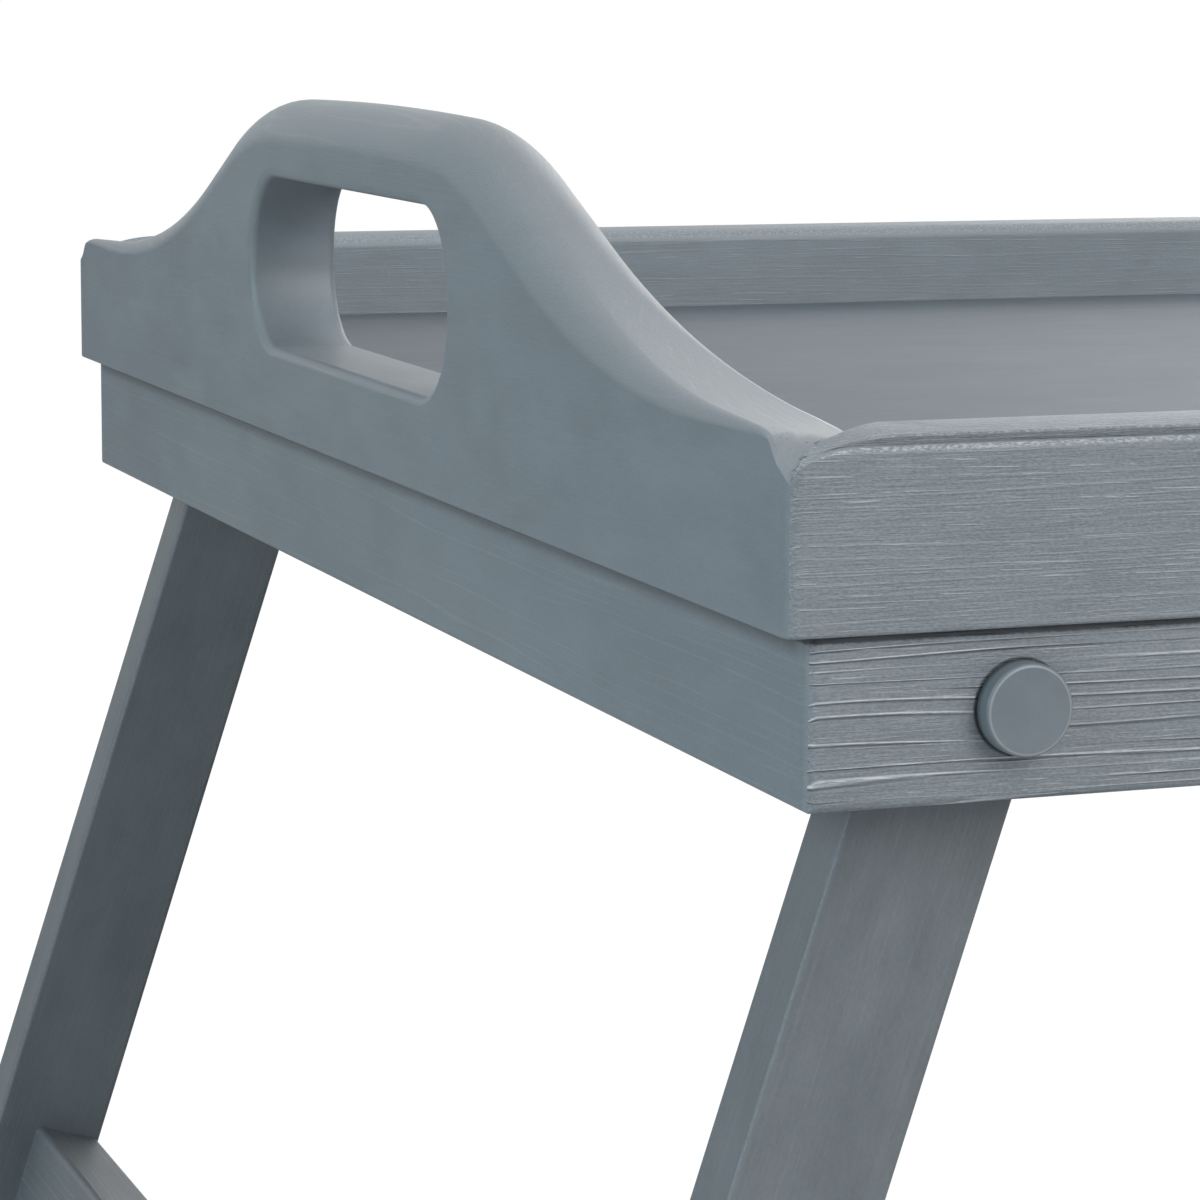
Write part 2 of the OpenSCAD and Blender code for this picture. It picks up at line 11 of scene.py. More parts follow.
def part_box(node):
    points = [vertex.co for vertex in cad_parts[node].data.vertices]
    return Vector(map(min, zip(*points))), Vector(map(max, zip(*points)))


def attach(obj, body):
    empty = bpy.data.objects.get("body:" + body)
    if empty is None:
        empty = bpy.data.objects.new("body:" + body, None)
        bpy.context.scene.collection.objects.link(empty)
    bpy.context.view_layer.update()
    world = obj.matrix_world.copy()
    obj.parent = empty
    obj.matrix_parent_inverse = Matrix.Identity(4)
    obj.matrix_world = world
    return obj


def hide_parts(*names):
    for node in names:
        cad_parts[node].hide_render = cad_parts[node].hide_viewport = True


bl_info = {
    "name": "Bed Tray Table",
    "version": (1, 0, 0),
    "blender": (4, 5, 0),
    "location": "3D View > Sidebar > Tray Table",
    "description": "Makes the shaped boards and the painted finish of a folding bed tray table",
    "category": "Object",
}

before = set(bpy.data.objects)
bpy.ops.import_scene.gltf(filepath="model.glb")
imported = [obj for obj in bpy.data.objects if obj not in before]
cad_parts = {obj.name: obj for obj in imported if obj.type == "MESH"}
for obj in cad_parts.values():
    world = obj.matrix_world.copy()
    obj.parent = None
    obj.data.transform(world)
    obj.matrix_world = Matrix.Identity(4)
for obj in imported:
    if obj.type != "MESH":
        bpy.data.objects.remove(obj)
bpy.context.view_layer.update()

MM = 0.001
SIDES = ("left", "right")
FACES = ("front", "back")
SIGNS = (-1, 1)

# Places of the tray's frame, in metres
HALF_L = -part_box("end_board_left")[0].x
HALF_D = -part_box("rail_front")[0].y
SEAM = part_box("rail_front")[0].z
END_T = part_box("end_board_left")[1].x + HALF_L
RAIL_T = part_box("rail_front")[1].y + HALF_D
HUMP_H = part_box("end_board_left")[1].z - SEAM
RAIL_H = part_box("rail_front")[1].z - SEAM
PANEL_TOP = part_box("tray_panel")[1].z - SEAM
PANEL_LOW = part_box("tray_panel")[0].z - SEAM
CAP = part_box("pivot_cap_front_right")
CAP_R = (CAP[1].x - CAP[0].x) / 2
PIVOT_X = (CAP[1].x + CAP[0].x) / 2
PIVOT_Z = (CAP[1].z + CAP[0].z) / 2

# How finely the boards are divided: metres between rings, and steps along each curve
NEAR_CORNER = 0.024
NEAR_STEP = 0.0008
BOARD_STEP = 0.002
RAIL_STEP = 0.012
EASE_STEPS = 4
ROUND_STEPS = 12
LEDGE_STEPS = 8
BEAD_STEPS = 13
SLOT_STEPS = 14
RIM_STEPS = 10

# Length in metres, in from a corner, over which rings turn from the mitre to square
MITRE_FADE = 0.045

# Shares of a section: heights of points up its outer face and places of points across its top,
# the height of a ledge's lower point, and the place of the bead's crest
SIDE_SHARES = (0.3, 0.55)
TOP_SHARES = (0.2, 0.4, 0.6, 0.8)
LEDGE_SHARE = 0.5
CREST_SHARE = 0.48

# Angle in degrees at which the rounding of a bead's outer edge ends
LIP_END = 100

# Lengths in millimetres over which the parts of a sanded corner fade or rise
SWELL_RUN = 3.5
STEP_RUN = (3.2, 5.8)
TIP_RUN = 2

# Angle at which a smooth shade breaks, how far large faces rule it, and how far a cutter runs on
SHARP = math.radians(32)
FACE_WEIGHT = 70
CUT_OVER = 0.001


# Sizes and colours that a user may change

def length(name, text, default):
    """A length in metres."""
    return FloatProperty(name=name, description=text, default=default, unit="LENGTH", precision=5)


def angle(name, text, degrees):
    """An angle, given in degrees."""
    return FloatProperty(name=name, description=text, default=math.radians(degrees), subtype="ANGLE")


def power(name, text, default):
    """A lamp's power."""
    return FloatProperty(name=name, description=text, default=default, subtype="POWER")


def colour(name, text, default):
    """A colour of a finish."""
    return FloatVectorProperty(name=name, description=text, default=default, subtype="COLOR",
                               size=3, min=0.0, max=1.0)


class TrayTableSizes(bpy.types.PropertyGroup):
    """Shapes of the tray's boards."""

    shoulder_h: length("Shoulder height", "Height of an end board at the tray's corner", 0.0218)
    crest_half: length("Crest half length", "Half length of the gently arched crest", 0.0365)
    crown_r: length("Crown radius", "Radius of the bend from crest to flank", 0.068)
    foot_r: length("Foot radius", "Radius of the hollow at the foot of the flank", 0.164)
    crest_angle: angle("Crest slope", "Slope at the end of the crest", 1.4)
    flank_angle: angle("Flank slope", "Slope of the flank", 25.5)
    shoulder_angle: angle("Shoulder slope", "Slope of the shoulder", 2.0)
    hump_flat: length("Hump flat", "Flat left along the hump's top between its two roundings", 0.0004)
    corner_round: length("Corner rounding", "Rounding of the outer top edge at a corner", 0.0008)
    inner_round: length("Inner rounding", "Rounding of the inner top edge at a corner", 0.0008)
    inner_dip: length("Inner dip", "How far the top falls inwards at a corner", 0.0017)
    round_keep: length("Corner length", "Length at a corner that keeps the corner's form", 0.007)
    round_fade: length("Fade length", "Length over which the corner's form fades", 0.095)
    slot_l: length("Slot length", "Length of the handle slot", 0.0965)
    slot_h: length("Slot height", "Height of the handle slot", 0.026)
    slot_sill: length("Slot sill", "Wood left under the handle slot", 0.0132)
    slot_r: length("Slot corner", "Corner radius of the handle slot", 0.012)
    slot_ease: length("Slot rim", "Rounding of the handle slot's rims", 0.0014)
    ledge_w: length("Ledge width", "Width of the ledge in front of a rail's bead", 0.0013)
    ledge_drop: length("Ledge drop", "Drop from the bead's crest to the ledge", 0.0018)
    ledge_round: length("Ledge rounding", "Rounding of the ledge's outer edge", 0.001)
    bead_r: length("Bead radius", "Radius of the bead's arched top", 0.016)
    bead_round: length("Bead rounding", "Rounding of the bead's inner edge", 0.0025)
    bead_start: length("Bead start", "Length past the mitre in which the bead comes to its height", 0.004)
    bead_lip: length("Bead lip", "Rounding of the bead's outer edge", 0.0004)
    sanding_r: length("Sanding radius", "Radius of the curve sanded across a corner", 0.030)
    sanding_l: length("Sanding reach", "Reach of that curve from the corner's edge", 0.0162)
    sanding_blend: length("Sanding blend", "Softness of that curve where it starts", 0.0006)
    front_swell: length("Front swell", "How much less is sanded on the front side of a corner", 0.0018)
    end_step: length("End step", "Step up to the end board's edge beside a sanded corner", 0.0014)
    tip_drop: length("Tip drop", "Extra sanding at the very tip of a corner", 0.001)
    arris_r: length("Corner arris", "Rounding of the tray's upright corners", 0.0016)
    foot_ease: length("Lower ease", "Rounding of the tray's lower outer edge", 0.0004)
    panel_lip: length("Panel lip", "How far the panel is let into the frame", 0.004)
    panel_field: length("Panel field", "Height that the panel's field stands up", 0.0008)
    panel_play: length("Panel play", "Play between the panel and its rebate", 0.0002)


class TrayTableFinish(bpy.types.PropertyGroup):
    """Colours of the finish, in linear light."""

    paint: colour("Paint", "Blue-grey paint on the tray and the apron", (0.215, 0.247, 0.272))
    # Pale paint for painted highlights on ridges, threads and an end board's inner rim, and for edges
    # that are worn and also carry painted highlight
    paint_pale: colour("Rubbed paint", "Paint where a ridge or an edge is rubbed", (0.60, 0.63, 0.67))
    # Dark paint for painted shade in creases, along the seam and round the caps, and for dark pits
    shade_and_pit_paint: colour("Deep paint", "Paint lying in a groove", (0.125, 0.148, 0.168))
    # Painted shade: darker than the frame's paint, for the panel's dimmer light and dark reflections
    panel: colour("Panel paint", "Paint on the tray's panel", (0.088, 0.112, 0.140))
    cap: colour("Pivot cap", "Moulded plastic of the pivot caps", (0.155, 0.187, 0.210))
    zinc: colour("Zinc", "Plating of the bolts, nuts, washers and screws", (0.62, 0.63, 0.65))
    nylon: colour("Nylon", "Spacing washers", (0.72, 0.72, 0.68))
    beech: colour("Beech", "Bare wood of the dowels", (0.56, 0.37, 0.20))


class TrayTableStage(bpy.types.PropertyGroup):
    """Camera and lamps."""

    eye: FloatVectorProperty(name="Camera place", description="Where the camera stands", size=3,
                             default=(-0.41694, -0.55413, 0.28489), subtype="XYZ", unit="LENGTH")
    lens: FloatProperty(name="Lens", description="Focal length on a 36 mm sensor", default=120.07,
                        subtype="DISTANCE_CAMERA")
    yaw: angle("Yaw", "Turn of the camera from +Y towards +X", 20.52)
    pitch: angle("Pitch", "Tilt of the camera from level", -9.0)
    roll: angle("Roll", "Roll of the camera", 0.40)
    top: power("Overhead lamp", "Power of the soft overhead lamp", 8.5)
    key: power("High front lamp", "Power of the soft lamp high in front", 25.5)
    side: power("Side lamp", "Power of the soft lamp on the left", 7.2)
    back: power("Back lamp", "Power of the soft lamp behind the table", 14.0)
    sky: FloatProperty(name="Room light", description="Strength of the light from all round",
                       default=0.12, min=0.0, max=1.0)


# Meshes

def skin(rings):
    """Points and faces of a closed tube through rings of points."""
    count = len(rings[0])
    points = [point for ring in rings for point in ring]
    faces = []
    for k in range(len(rings) - 1):
        a = k * count
        b = a + count
        for i in range(count):
            j = (i + 1) % count
            faces.append((a + i, a + j, b + j, b + i))
    faces.append(tuple(range(count))[::-1])
    faces.append(tuple(range(len(points) - count, len(points))))
    return points, faces


def put(name, data):
    """Adds an object with that data to the scene."""
    made = bpy.data.objects.new(name, data)
    bpy.context.scene.collection.objects.link(made)
    return made


def new_piece(name, points, faces):
    """An object with that mesh, its faces turned outwards."""
    mesh = bpy.data.meshes.new(name)
    mesh.from_pydata([tuple(point) for point in points], [], faces)
    mesh.validate()
    mesh.update()
    turn_outwards(mesh)
    return put(name, mesh)


def turn_outwards(mesh):
    """Turns every face outwards."""
    work = bmesh.new()
    work.from_mesh(mesh)
    bmesh.ops.recalc_face_normals(work, faces=work.faces[:])
    work.to_mesh(mesh)
    work.free()


def smooth(piece):
    """Shades the piece smooth, with sharp edges where its faces meet at a wide angle."""
    mesh = piece.data
    mesh.polygons.foreach_set("use_smooth", [True] * len(mesh.polygons))
    mesh.set_sharp_from_angle(angle=SHARP)
    weighted = piece.modifiers.new("even_faces", "WEIGHTED_NORMAL")
    weighted.keep_sharp = True
    weighted.weight = FACE_WEIGHT


def carve(piece, cutter):
    """Cuts the cutter out of the piece and removes it."""
    cut = piece.modifiers.new("cut", "BOOLEAN")
    cut.operation = "DIFFERENCE"
    cut.solver = "EXACT"
    cut.object = cutter
    shown = piece.evaluated_get(bpy.context.evaluated_depsgraph_get())
    carved = bpy.data.meshes.new_from_object(shown)
    piece.modifiers.remove(cut)
    plain = piece.data
    name = plain.name
    piece.data = carved
    bpy.data.meshes.remove(plain)
    carved.name = name
    spent = cutter.data
    bpy.data.objects.remove(cutter)
    bpy.data.meshes.remove(spent)


def hand_in(piece, material, body, slot, *nodes):
    """Gives the piece its finish and its place among the moving bodies."""
    piece.data.materials.clear()
    piece.data.materials.append(material)
    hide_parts(*nodes)
    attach(piece, body)


def arc(centre, radius, start, end, steps):
    """Points on an arc, by angles in degrees, in the plane of a section."""
    out = []
    for i in range(steps + 1):
        turn = math.radians(start + (end - start) * i / steps)
        out.append((centre[0] + radius * math.cos(turn), centre[1] + radius * math.sin(turn)))
    return out


# Shape of the tray's boards

def ease_corner(x, y, radius):
    """Rounds an upright corner: x and y are measured in from its two faces."""
    if x >= radius or y >= radius:
        return x, y
    a = radius - x
    b = radius - y
    reach = max(a, b) / math.hypot(a, b)
    return radius - a * reach, radius - b * reach


def soft_step(value, low, high):
    """Rises softly from 0 at low to 1 at high."""
    share = min(1.0, max(0.0, (value - low) / (high - low)))
    return share * share * (3 - 2 * share)


def soft_min(a, b, blend):
    """The lower of two heights, with a soft change between them."""
    share = max(blend - abs(a - b), 0.0) / blend
    return min(a, b) - share * share * blend / 4


def sanded(x, y, z, sizes):
    """Height of a point after the corner is sanded: x and y are measured in from its faces."""
    along = (x + y) / math.sqrt(2)
    left = max(sizes.sanding_l - along, 0.0)
    top = RAIL_H - sizes.sanding_r + math.sqrt(sizes.sanding_r ** 2 - left ** 2)
    to_front = max(x - y, 0.0) / (x + y + MM)
    top += sizes.front_swell * math.exp(-along / (SWELL_RUN * MM)) * to_front
    top += sizes.end_step * soft_step((y - x) / MM, *STEP_RUN)
    top -= sizes.tip_drop * math.exp(-along / (TIP_RUN * MM))
    if left == 0.0:
        return z
    return soft_min(z, top, sizes.sanding_blend)


def outline_height(u, sizes):
    """Height of an end board's outline at a distance from its middle."""
    u = abs(u)
    sin_crest = math.sin(sizes.crest_angle)
    cos_crest = math.cos(sizes.crest_angle)
    sin_flank = math.sin(sizes.flank_angle)
    cos_flank = math.cos(sizes.flank_angle)
    sin_shoulder = math.sin(sizes.shoulder_angle)
    cos_shoulder = math.cos(sizes.shoulder_angle)
    slope = math.tan(sizes.shoulder_angle)
    crest_r = sizes.crest_half / sin_crest
    crown_z = HUMP_H - crest_r * (1 - cos_crest)
    crown_run = sizes.crown_r * (sin_flank - sin_crest)
    crown_fall = sizes.crown_r * (cos_crest - cos_flank)
    foot_run = sizes.foot_r * (sin_flank - sin_shoulder)
    foot_fall = sizes.foot_r * (cos_shoulder - cos_flank)
    free_run = HALF_D - sizes.crest_half - crown_run - foot_run
    free_fall = crown_z - sizes.shoulder_h - crown_fall - foot_fall
    flank_run = (free_fall - free_run * slope) / (math.tan(sizes.flank_angle) - slope)
    flank_at = sizes.crest_half + crown_run
    foot_at = flank_at + flank_run
    flank_z = crown_z - crown_fall
    foot_z = flank_z - flank_run * math.tan(sizes.flank_angle)
    if u <= sizes.crest_half:
        return HUMP_H - crest_r + math.sqrt(crest_r ** 2 - u ** 2)
    if u <= flank_at:
        off = u - sizes.crest_half + sizes.crown_r * sin_crest
        return crown_z - sizes.crown_r * cos_crest + math.sqrt(sizes.crown_r ** 2 - off ** 2)
    if u <= foot_at:
        return flank_z - (u - flank_at) * math.tan(sizes.flank_angle)
    if u <= foot_at + foot_run:
        off = u - foot_at - sizes.foot_r * sin_flank
        return foot_z + sizes.foot_r * cos_flank - math.sqrt(sizes.foot_r ** 2 - off ** 2)
    return sizes.shoulder_h + (HALF_D - u) * slope


def rebate(width, sizes):
    """Inner face of a board of that width, with the rebate that holds the panel."""
    lip = width - sizes.panel_lip
    sill = PANEL_TOP - sizes.panel_field + sizes.panel_play
    return [(width, sill), (lip, sill), (lip, PANEL_LOW), (width, PANEL_LOW), (width, 0.0)]


def end_section(u, sizes):
    """Section of an end board: distance in from the outer face, and height over the seam."""
    share = min(1.0, max(0.0, (HALF_D - abs(u) - sizes.round_keep) / sizes.round_fade))
    hump_round = (END_T - sizes.hump_flat) / 2
    outer = sizes.corner_round + (hump_round - sizes.corner_round) * share
    inner = sizes.inner_round + (hump_round - sizes.inner_round) * share ** 2
    edge = outline_height(u, sizes)
    top = edge - sizes.inner_dip * (1 - share) ** 2
    ease = sizes.foot_ease
    section = arc((ease, ease), ease, 270, 180, EASE_STEPS)
    section += [(0.0, edge * up) for up in SIDE_SHARES]
    section += arc((outer, edge - outer), outer, 180, 90, ROUND_STEPS)
    start = section[-1]
    end = (END_T - inner, top)
    for across in TOP_SHARES:
        section.append((start[0] + (end[0] - start[0]) * across,
                        start[1] + (end[1] - start[1]) * across))
    section += arc((END_T - inner, top - inner), inner, 90, 0, ROUND_STEPS)
    return section + rebate(END_T, sizes)


def rail_section(sizes):
    """Section of a long rail: ledge, small riser and arched bead."""
    ease = sizes.foot_ease
    ledge_r = sizes.ledge_round
    ledge_z = RAIL_H - sizes.ledge_drop
    crest = sizes.ledge_w + (RAIL_T - sizes.ledge_w) * CREST_SHARE
    lip_r = sizes.bead_lip
    arch_start = sizes.ledge_w + lip_r
    bead_edge = RAIL_T - sizes.bead_round

    def bead(d):
        """Height of the bead's arched top."""
        return RAIL_H - sizes.bead_r + math.sqrt(sizes.bead_r ** 2 - (d - crest) ** 2)

    section = arc((ease, ease), ease, 270, 180, EASE_STEPS)
    section.append((0.0, ledge_z * LEDGE_SHARE))
    section += arc((ledge_r, ledge_z - ledge_r), ledge_r, 180, 90, LEDGE_STEPS)
    section.append((sizes.ledge_w, ledge_z))
    section += arc((arch_start, bead(arch_start) - lip_r), lip_r, 180, LIP_END, EASE_STEPS)
    for i in range(1, BEAD_STEPS + 1):
        d = arch_start + (bead_edge - arch_start) * i / BEAD_STEPS
        section.append((d, bead(d)))
    lean = math.degrees(math.acos(min(1.0, (bead_edge - crest) / sizes.bead_r)))
    section += arc((bead_edge, bead(bead_edge) - sizes.bead_round), sizes.bead_round, lean, 0,
                   LEDGE_STEPS)
    return section + rebate(RAIL_T, sizes)


def meets_board(depth, height, past, sizes):
    """Height of a rail's top near the mitre, where it runs into the end board's top."""
    if height < RAIL_H / 2:
        return height
    share = soft_step(past, 0.0, sizes.bead_start)
    board = sizes.shoulder_h - sizes.inner_dip * depth / RAIL_T
    return min(height, board) * (1 - share) + height * share


def stations(half, step):
    """Places of rings from one mitre to the other: distance in from the nearer, and its sign."""
    out = []
    at = 0.0
    while at < half - step:
        out.append(at)
        at += NEAR_STEP if at < NEAR_CORNER else step
    return [(inset, -1) for inset in out + [half]] + [(inset, 1) for inset in reversed(out)]


def lean_in(inset, mitre):
    """Distance of a ring's point from the corner: on the mitre there, and square further in."""
    return inset + mitre * max(0.0, 1 - inset / MITRE_FADE) ** 2


# Finishes

BLACK = (0.0, 0.0, 0.0)
WHITE = (1.0, 1.0, 1.0)
TURN_X = (0.0, 0.0, 0.0)
TURN_Y = (0.0, 0.0, math.radians(-90))
UPRIGHT = math.radians(90)
SPLAY = math.radians(18)

# Noise in the painted bamboo: size of its grains in millimetres, detail, roughness and shift
BAMBOO_NOISE = {
    "cloud": ((70, 38, 38), 3.0, 0.55, (0.0, 0.0, 0.0)),
    "patch": ((16, 7, 7), 4.0, 0.6, (3.1, 7.7, 1.3)),
    "hair": ((7, 0.26, 0.26), 3.0, 0.65, (6.2, 0.7, 2.9)),
    "peel": ((0.9, 0.6, 0.6), 3.0, 0.6, (1.9, 8.2, 5.5)),
    "speck": ((0.6, 0.26, 0.26), 2.0, 0.6, (3.7, 6.6, 8.1)),
    "breaks": ((3.2, 0.8, 0.8), 2.0, 0.55, (8.8, 3.3, 0.4)),
    "ridges": ((60, 1.6, 1.6), 2.0, 0.5, (0.3, 5.1, 2.2)),
    "threads": ((11, 1.1, 1.1), 2.0, 0.5, (4.4, 1.8, 7.3)),
    "wear_and_highlight": ((0.55, 0.22, 0.22), 2.0, 0.6, (7.0, 2.0, 4.0)),
}

# Middle of a noise or of a row, and where a noise starts to show its marks and shows them fully
MIDDLE = 0.5
BREAKS_SHOW = (0.38, 0.55)
RIDGES_SHOW = (0.40, 0.54)
THREADS_SHOW = (0.48, 0.62)
WORN_AND_LIT_EDGES_SHOW = (0.40, 0.66)
HIGHLIGHT_SHOW = (0.32, 0.50)

# Rows of fibres: spacing in millimetres, wander in rows, and the noise of that wander
RIDGE_ROWS = (1.45, 5.0, ((140, 7, 7), 2.0, 0.5, (0.0, 4.4, 9.1)))
THREAD_ROWS = (0.62, 9.0, ((140, 7, 7), 2.0, 0.5, (2.0, 6.4, 3.1)))

# Lines along those rows, in rows: half widths, and how far a groove lies under its ridge
RIDGE_WIDTH = 0.13
GROOVE_WIDTH = 0.10
GROOVE_FALL = 0.20
THREAD_WIDTH = 0.17
LINE_CORE = 0.2
RIDGE_BREAKS = 0.4

# How much each part of the grain changes the shade of the paint, and the range of that shade
CLOUD_SHADE = 0.55
PATCH_SHADE = 0.5
HAIR_SHADE = 0.9
SPECK_SHADE = 1.3
SHADE_RANGE = (0.1, 0.9)
DARK_SHADE = 0.2
PALE_SHADE = 0.05
# Painted shade in the groove under each ridge
GROOVE_SHADE = 0.62
GROOVE_DARK = 0.6
# Share of black in the paint for painted shade in creases and for dark pits
CREVICE_DARK = 0.7
# Painted highlight on ridges and threads
RIDGE_LIGHT = 1.05
THREAD_LIGHT = 0.46

# Rounded edges, paled where they look up as wear and as painted highlight: how far a face looks up, and
# how far it turns from the piece's flat faces
LOOKS_UP = (0.05, 0.4)
TURNED_AWAY = (0.02, 0.16)

# How high each part of the grain stands, in millimetres, and how it changes the roughness
RIDGE_RISE = 0.22
GROOVE_RISE = -0.1
THREAD_RISE = 0.07
HAIR_RISE = 0.11
SPECK_RISE = 0.07
PEEL_RISE = 0.06
PATCH_RISE = 0.05
PATCH_GLOSS = 0.22
HAIR_GLOSS = 0.16
RIDGE_GLOSS = -0.06
PAINT_IOR = 1.5


class Wire:
    """A value in a finish. Arithmetic with it adds the nodes that work it out."""

    def __init__(self, finish, output):
        self.finish = finish
        self.output = output

    def maths(self, operation, other=0.0):
        """Adds one Math node that takes this value first."""
        return self.finish.maths(operation, self, other)

    def size(self):
        """The value without its sign."""
        return self.maths("ABSOLUTE")

    def or_more(self, other):
        """The greater of two values."""
        return self.maths("MAXIMUM", other)

    def __add__(self, other):
        return self.maths("ADD", other)

    def __sub__(self, other):
        return self.maths("SUBTRACT", other)

    def __rsub__(self, other):
        return self.finish.maths("SUBTRACT", other, self)

    def __mul__(self, other):
        return self.maths("MULTIPLY", other)

    def __truediv__(self, other):
        return self.maths("DIVIDE", other)

    def __pow__(self, other):
        return self.maths("POWER", other)

    __radd__ = __add__
    __rmul__ = __mul__


class Finish:
    """The nodes that make the look of a material or of the room."""

    def __init__(self, owner):
        self.owner = owner
        owner.use_nodes = True
        self.tree = owner.node_tree
        self.tree.nodes.clear()

    def node(self, kind, settings=None, values=None, output=0):
        """Adds a node: its settings first, then the values or links of its sockets."""
        made = self.tree.nodes.new(kind)
        for name, value in (settings or {}).items():
            setattr(made, name, value)
        for name, value in (values or {}).items():
            if isinstance(value, Wire):
                self.tree.links.new(value.output, made.inputs[name])
            else:
                made.inputs[name].default_value = value
        return Wire(self, made.outputs[output]) if len(made.outputs) else None

    def maths(self, operation, first, second):
        """Adds one Math node."""
        return self.node("ShaderNodeMath", {"operation": operation}, {0: first, 1: second})

    def close(self, shader, end="ShaderNodeOutputMaterial"):
        """Ends the finish with its shader."""
        self.node(end, None, {"Surface": shader})
        return self.owner

    def surface(self, tone, roughness, height, **others):
        """Ends the finish with its colour, roughness, height in millimetres and other values."""
        bump = self.node("ShaderNodeBump", None, {"Height": height, "Strength": 1.0, "Distance": MM})
        values = {"Base Color": tone, "Roughness": roughness, "Normal": bump}
        return self.close(self.node("ShaderNodeBsdfPrincipled", None, {**values, **others}))

    def along(self, turn=TURN_X):
        """Places on the piece in millimetres, turned so that the grain runs along X."""
        place = self.node("ShaderNodeTexCoord", output="Object")
        return self.node("ShaderNodeMapping", {"vector_type": "POINT"},
                         {"Vector": place, "Scale": (1 / MM, 1 / MM, 1 / MM), "Rotation": turn})

    def noise(self, place, sizes, detail, roughness, shift=(0.0, 0.0, 0.0)):
        """Noise whose grains have those sizes in millimetres."""
        scaled = self.node("ShaderNodeMapping", {"vector_type": "POINT"},
                           {"Vector": place, "Scale": [1 / size for size in sizes],
                            "Location": shift})
        return self.node("ShaderNodeTexNoise", {"noise_dimensions": "3D"},
                         {"Vector": scaled, "Scale": 1.0, "Detail": detail,
                          "Roughness": roughness})

    def rows(self, place, slant, spacing, wander, noise):
        """Counts up by one at each fibre along the grain, at that spacing in millimetres."""
        across, level = self.parts(place)[1:]
        return (across * slant + level) / spacing + self.noise(place, *noise) * wander

    def lines(self, rows, width, fall=0.0):
        """One thin line in each row: its half width and how far it lies lower, in rows."""
        off = ((rows + fall).maths("FRACT") - MIDDLE).size()
        return self.ramp(off, width, width * LINE_CORE)

    def edges(self, turn):
        """0 on the piece's flat faces and up to 0.3 on the rounded edges that look up."""
        normal = self.node("ShaderNodeTexCoord", output="Normal")
        upwards = self.ramp(self.parts(normal)[2], *LOOKS_UP)
        turned = self.node("ShaderNodeMapping", {"vector_type": "NORMAL"},
                           {"Vector": normal, "Rotation": turn})
        a, b, c = [part.size() for part in self.parts(turned)]
        return (1 - a.or_more(b).or_more(c)) * upwards

    def ramp(self, value, low, high):
        """Rises softly from 0 at low to 1 at high. It falls where low is the greater."""
        return self.node("ShaderNodeMapRange", {"interpolation_type": "SMOOTHSTEP"},
                         {"Value": value, "From Min": low, "From Max": high})

    def band(self, value, low, full, falls, high):
        """Rises softly from 0 at low to 1 at full, then falls from 1 to 0 at high."""
        return self.ramp(value, low, full) * self.ramp(value, high, falls)

    def blend(self, share, first, second):
        """Mixes two colours."""
        return self.node("ShaderNodeMix", {"data_type": "RGBA"},
                         {0: share, 6: first, 7: second}, output=2)

    def parts(self, place):
        """The three parts of a place."""
        split = self.node("ShaderNodeSeparateXYZ", None, {"Vector": place})
        return [Wire(self, socket) for socket in split.output.node.outputs]


def new_finish(name):
    """An empty finish for a material of that name."""
    return Finish(bpy.data.materials.new(name))


def mixed(first, second, share):
    """A colour between two others."""
    return [a + (b - a) * share for a, b in zip(first, second)]


def rgba(tone):
    """A colour with its fourth part."""
    return (tone[0], tone[1], tone[2], 1.0)


def darker(tone, share):
    """A colour with that share of black."""
    return rgba(mixed(tone, BLACK, share))


def paler(tone, share):
    """A colour with that share of white."""
    return rgba(mixed(tone, WHITE, share))


def grain(ridge, thread, hair, mottle=1.0, rough=0.46, wear_and_highlight=0.35, tone=1.0, slant=0.83):
    """How strongly each part of the grain shows on a piece, and how dark its paint is."""
    return {"ridge": ridge, "thread": thread, "hair": hair, "mottle": mottle, "rough": rough,
            "wear_and_highlight": wear_and_highlight, "tone": tone, "slant": slant}


# The grain of each piece. Its slant is how far the rows of fibres lean on a level face
END_BOARD_GRAIN = grain(0.0, 0.03, 0.22, wear_and_highlight=0.03)
# Both rails have one paint: the back rail's paler tone is painted light
RAIL_GRAINS = {
    "front": grain(0.12, 1.0, 1.1, wear_and_highlight=0.65, tone=0.95),
    "back": grain(0.05, 0.25, 0.28, wear_and_highlight=0.3, tone=1.12),
}
LONG_APRON_GRAIN = grain(1.0, 1.0, 1.1, wear_and_highlight=0.2, slant=0.2)
END_APRON_GRAIN = grain(0.04, 0.06, 0.3, wear_and_highlight=0.1)
PANEL_GRAIN = grain(0.0, 0.1, 0.2, rough=0.6)
# The crossbars and legs keep the tray's paint, darkened by their tones as painted shade under the tray
CROSSBAR_GRAIN = grain(0.06, 0.1, 0.35, wear_and_highlight=0.12, tone=0.62)
LEG_GRAIN = grain(0.03, 0.05, 0.3, mottle=1.4, wear_and_highlight=0.12, tone=0.66)


